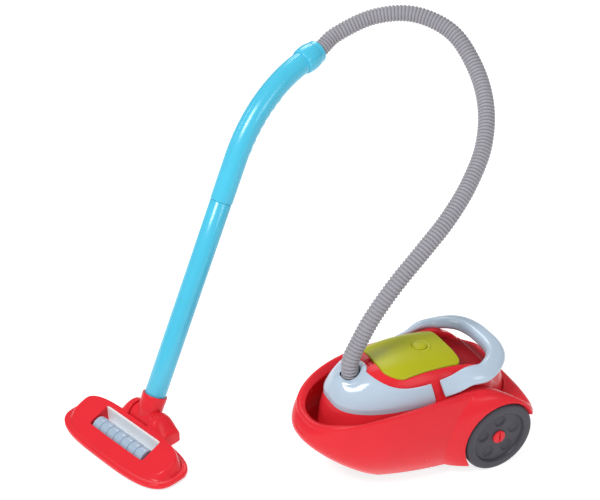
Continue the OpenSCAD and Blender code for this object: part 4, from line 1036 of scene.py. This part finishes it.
def cover_grid():
    """Rays from the window's middle. Along each, the grid goes up the window's wall, over its
    rounded edge and the ramp, down a soft step to the lip, round its edge and back underneath."""
    a = np.linspace(0, 2 * np.pi, 2400)
    y = np.where(np.cos(a) > 0, -head_front, -head_back) * spow(np.cos(a), head_e)
    ray = unit(evenly(np.stack([head_half * spow(np.sin(a), head_e), y], -1), 520))
    deep = np.where(ray[:, 1] < 0, head_front, head_back)
    window = reach_of(ray, window_half, window_deep, 18)

    def outline(inset):
        """Distance along the rays to the head's outline, drawn in by inset."""
        return reach_of(ray, head_half - inset, deep - inset, 2 / head_e)

    def along(r):
        """Plan points at distance r on the rays from the window's middle."""
        return ray * r[:, None]

    def top(p, inset):
        """Top of the cover: the lip's height by inset, rising to the ramp, less the neck's slot."""
        low = np.interp(inset, (0, 0.3, 0.8, 1.5, 2.4, 6, 8), (8.2, 9.0, 9.6, 9.9, 10.05, 10.2, 10.6))
        z = low + (np.maximum(ramp(p[:, 1]), low) - low) * smooth((inset - 6.0) / 6.5) ** 0.8
        slot = (1 - smooth((np.abs(p[:, 0]) - cheek_in) / 0.3)) * smooth((p[:, 1] - slot_y) / 0.3)
        return z + np.minimum(slot_z - z, 0) * slot

    def lifted(p, inset, drop=0.0):
        """Plan points set at the cover's top, less a drop."""
        return np.column_stack([p, top(p, inset) - drop])

    p = along(window)
    rows = [np.column_stack([p, plate_z + (top(p, 20) - 1 - plate_z) * t]) for t in (0.0, 0.5, 0.9, 1.0)]
    rows += [lifted(along(window + e), 20, 1 - math.sqrt(1 - (1 - e) ** 2)) for e in (0.1, 0.3, 0.6, 1.0)]
    span = outline(13) - window - 1
    rows += [lifted(along(window + 1 + span * s), 13) for s in np.linspace(0, 1, 26)[1:]]
    lip = [4.5, 3.4, 2.4, 1.9, 1.5, 1.1, 0.8, 0.5, 0.3, 0.12, 0.0]
    insets = np.concatenate([np.linspace(12.6, 5.6, 26), lip])
    rows += [lifted(along(outline(inset)), inset) for inset in insets]
    for inset, rise in ((0.0, 2.0), (0.0, 0.4), (0.3, 0.05), (1.0, 0.0)):
        rows.append(np.column_stack([along(outline(inset)), np.full(len(ray), plate_z + rise)]))
    return on_head(np.stack(rows))


def cheek_grid(side):
    """A half disc on a straight base, seen from the side, carried outwards from the neck. Its
    height sinks along a smooth curve, and both end faces are drawn in by a quarter circle."""
    in_r, out_r = 1.2, 2.5
    f = np.radians(np.linspace(190, -10, 50))
    disc = np.stack([cheek_y + cheek_r * np.cos(f), 20 + cheek_r * np.sin(f)], -1)
    line = evenly(np.concatenate([disc, [[51.0, 0.0], [13.0, 0.0], [13.0, 6.0], disc[0]]]), 140)
    fall = np.array([[cheek_in, 1.0], [26, 0.97], [31, 0.84], [37, 0.62], [40.5, 0.5], [cheek_out, 0.44]])
    curve = spline(fall, np.linspace(0, 5, 60))
    q = 1 - np.cos(np.linspace(0, np.pi / 2, 8))
    x = np.sort(np.concatenate([cheek_in + in_r * q, curve[4:-4, 0], cheek_out - out_r * q[::-1]]))
    tall = (np.interp(x, fall[:, 0], fall[:, 1]) + np.interp(x, curve[:, 0], curve[:, 1])) / 2
    from_in, from_out = np.maximum(cheek_in + in_r - x, 0), np.maximum(x - cheek_out + out_r, 0)
    inset = np.maximum(in_r - np.sqrt(np.maximum(in_r ** 2 - from_in ** 2, 0)),
                       out_r - np.sqrt(np.maximum(out_r ** 2 - from_out ** 2, 0)))
    spot = line[None] - unit(line - np.array([33.0, 0.0]))[None] * inset[:, None, None]
    z = plate_z + np.maximum(spot[..., 1], 0) * tall[:, None]
    return on_head(np.stack([side * x[:, None] + 0 * z, spot[..., 0], z], -1))


cover_skins = [skin(cover_grid(), ring=True)] + [skin(cheek_grid(side), caps=True) for side in (1, -1)]
head_cover = moulding("head_cover_moulded", cover_skins, red_plastic, crease=45.0)
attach(head_cover, "head")
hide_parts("head_cover")

# Sole and its screws. A flat white plastic plate under the cover, with a wall that lines the window
# behind the roller, held by four steel screws with sunk heads. The solids are used as they are.
white_paint = (238, 240, 242)
dress("head_sole", moulded_plastic("satin_white_plastic", white_paint, 0.35))
dress("head_screws", bright_steel)

# Roller and its axle. A grey-blue plastic roller in the window, moulded with seven barrel-shaped
# bands, turning on a steel axle.
roller_paint = (164, 184, 204)
roller_half, roller_r, band_count, roller_bore = 46.0, 10.5, 7, 2.56
roller_at = (0, -4.0, 10.9)
swell, groove_deep, groove_from, groove_edge = 0.35, 1.2, 0.84, 0.12
rim_x, end_x, end_drop, end_edge = 44.4, 45.3, 0.9, 0.7
roller_plastic = moulded_plastic("satin_roller_plastic", roller_paint, 0.16, gloss=0.5)


def roller_grid():
    """A turned roller. Its radius swells over each band and drops in the grooves between them, and
    its ends are plain discs with a raised rim."""
    x = np.linspace(-roller_half, roller_half, 281)
    band = np.abs(((x + roller_half) / (2 * roller_half) * band_count) % 1 - 0.5) * 2
    r = roller_r - swell * band ** 2 - groove_deep * smooth((band - groove_from) / groove_edge)
    end = roller_r - end_drop * smooth((np.abs(x) - end_x) / end_edge)
    r = np.where(np.abs(x) > rim_x, end, r)
    r = np.append(r, [roller_bore, roller_bore])
    x = np.append(x, [roller_half, -roller_half])
    return on_head(crosswise(turned(np.column_stack([r, x]))) + roller_at)


roller = moulding("roller_banded", [skin(roller_grid(), ring=True)], roller_plastic)
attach(roller, "roller")
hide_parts("roller")
dress("roller_axle", bright_steel)
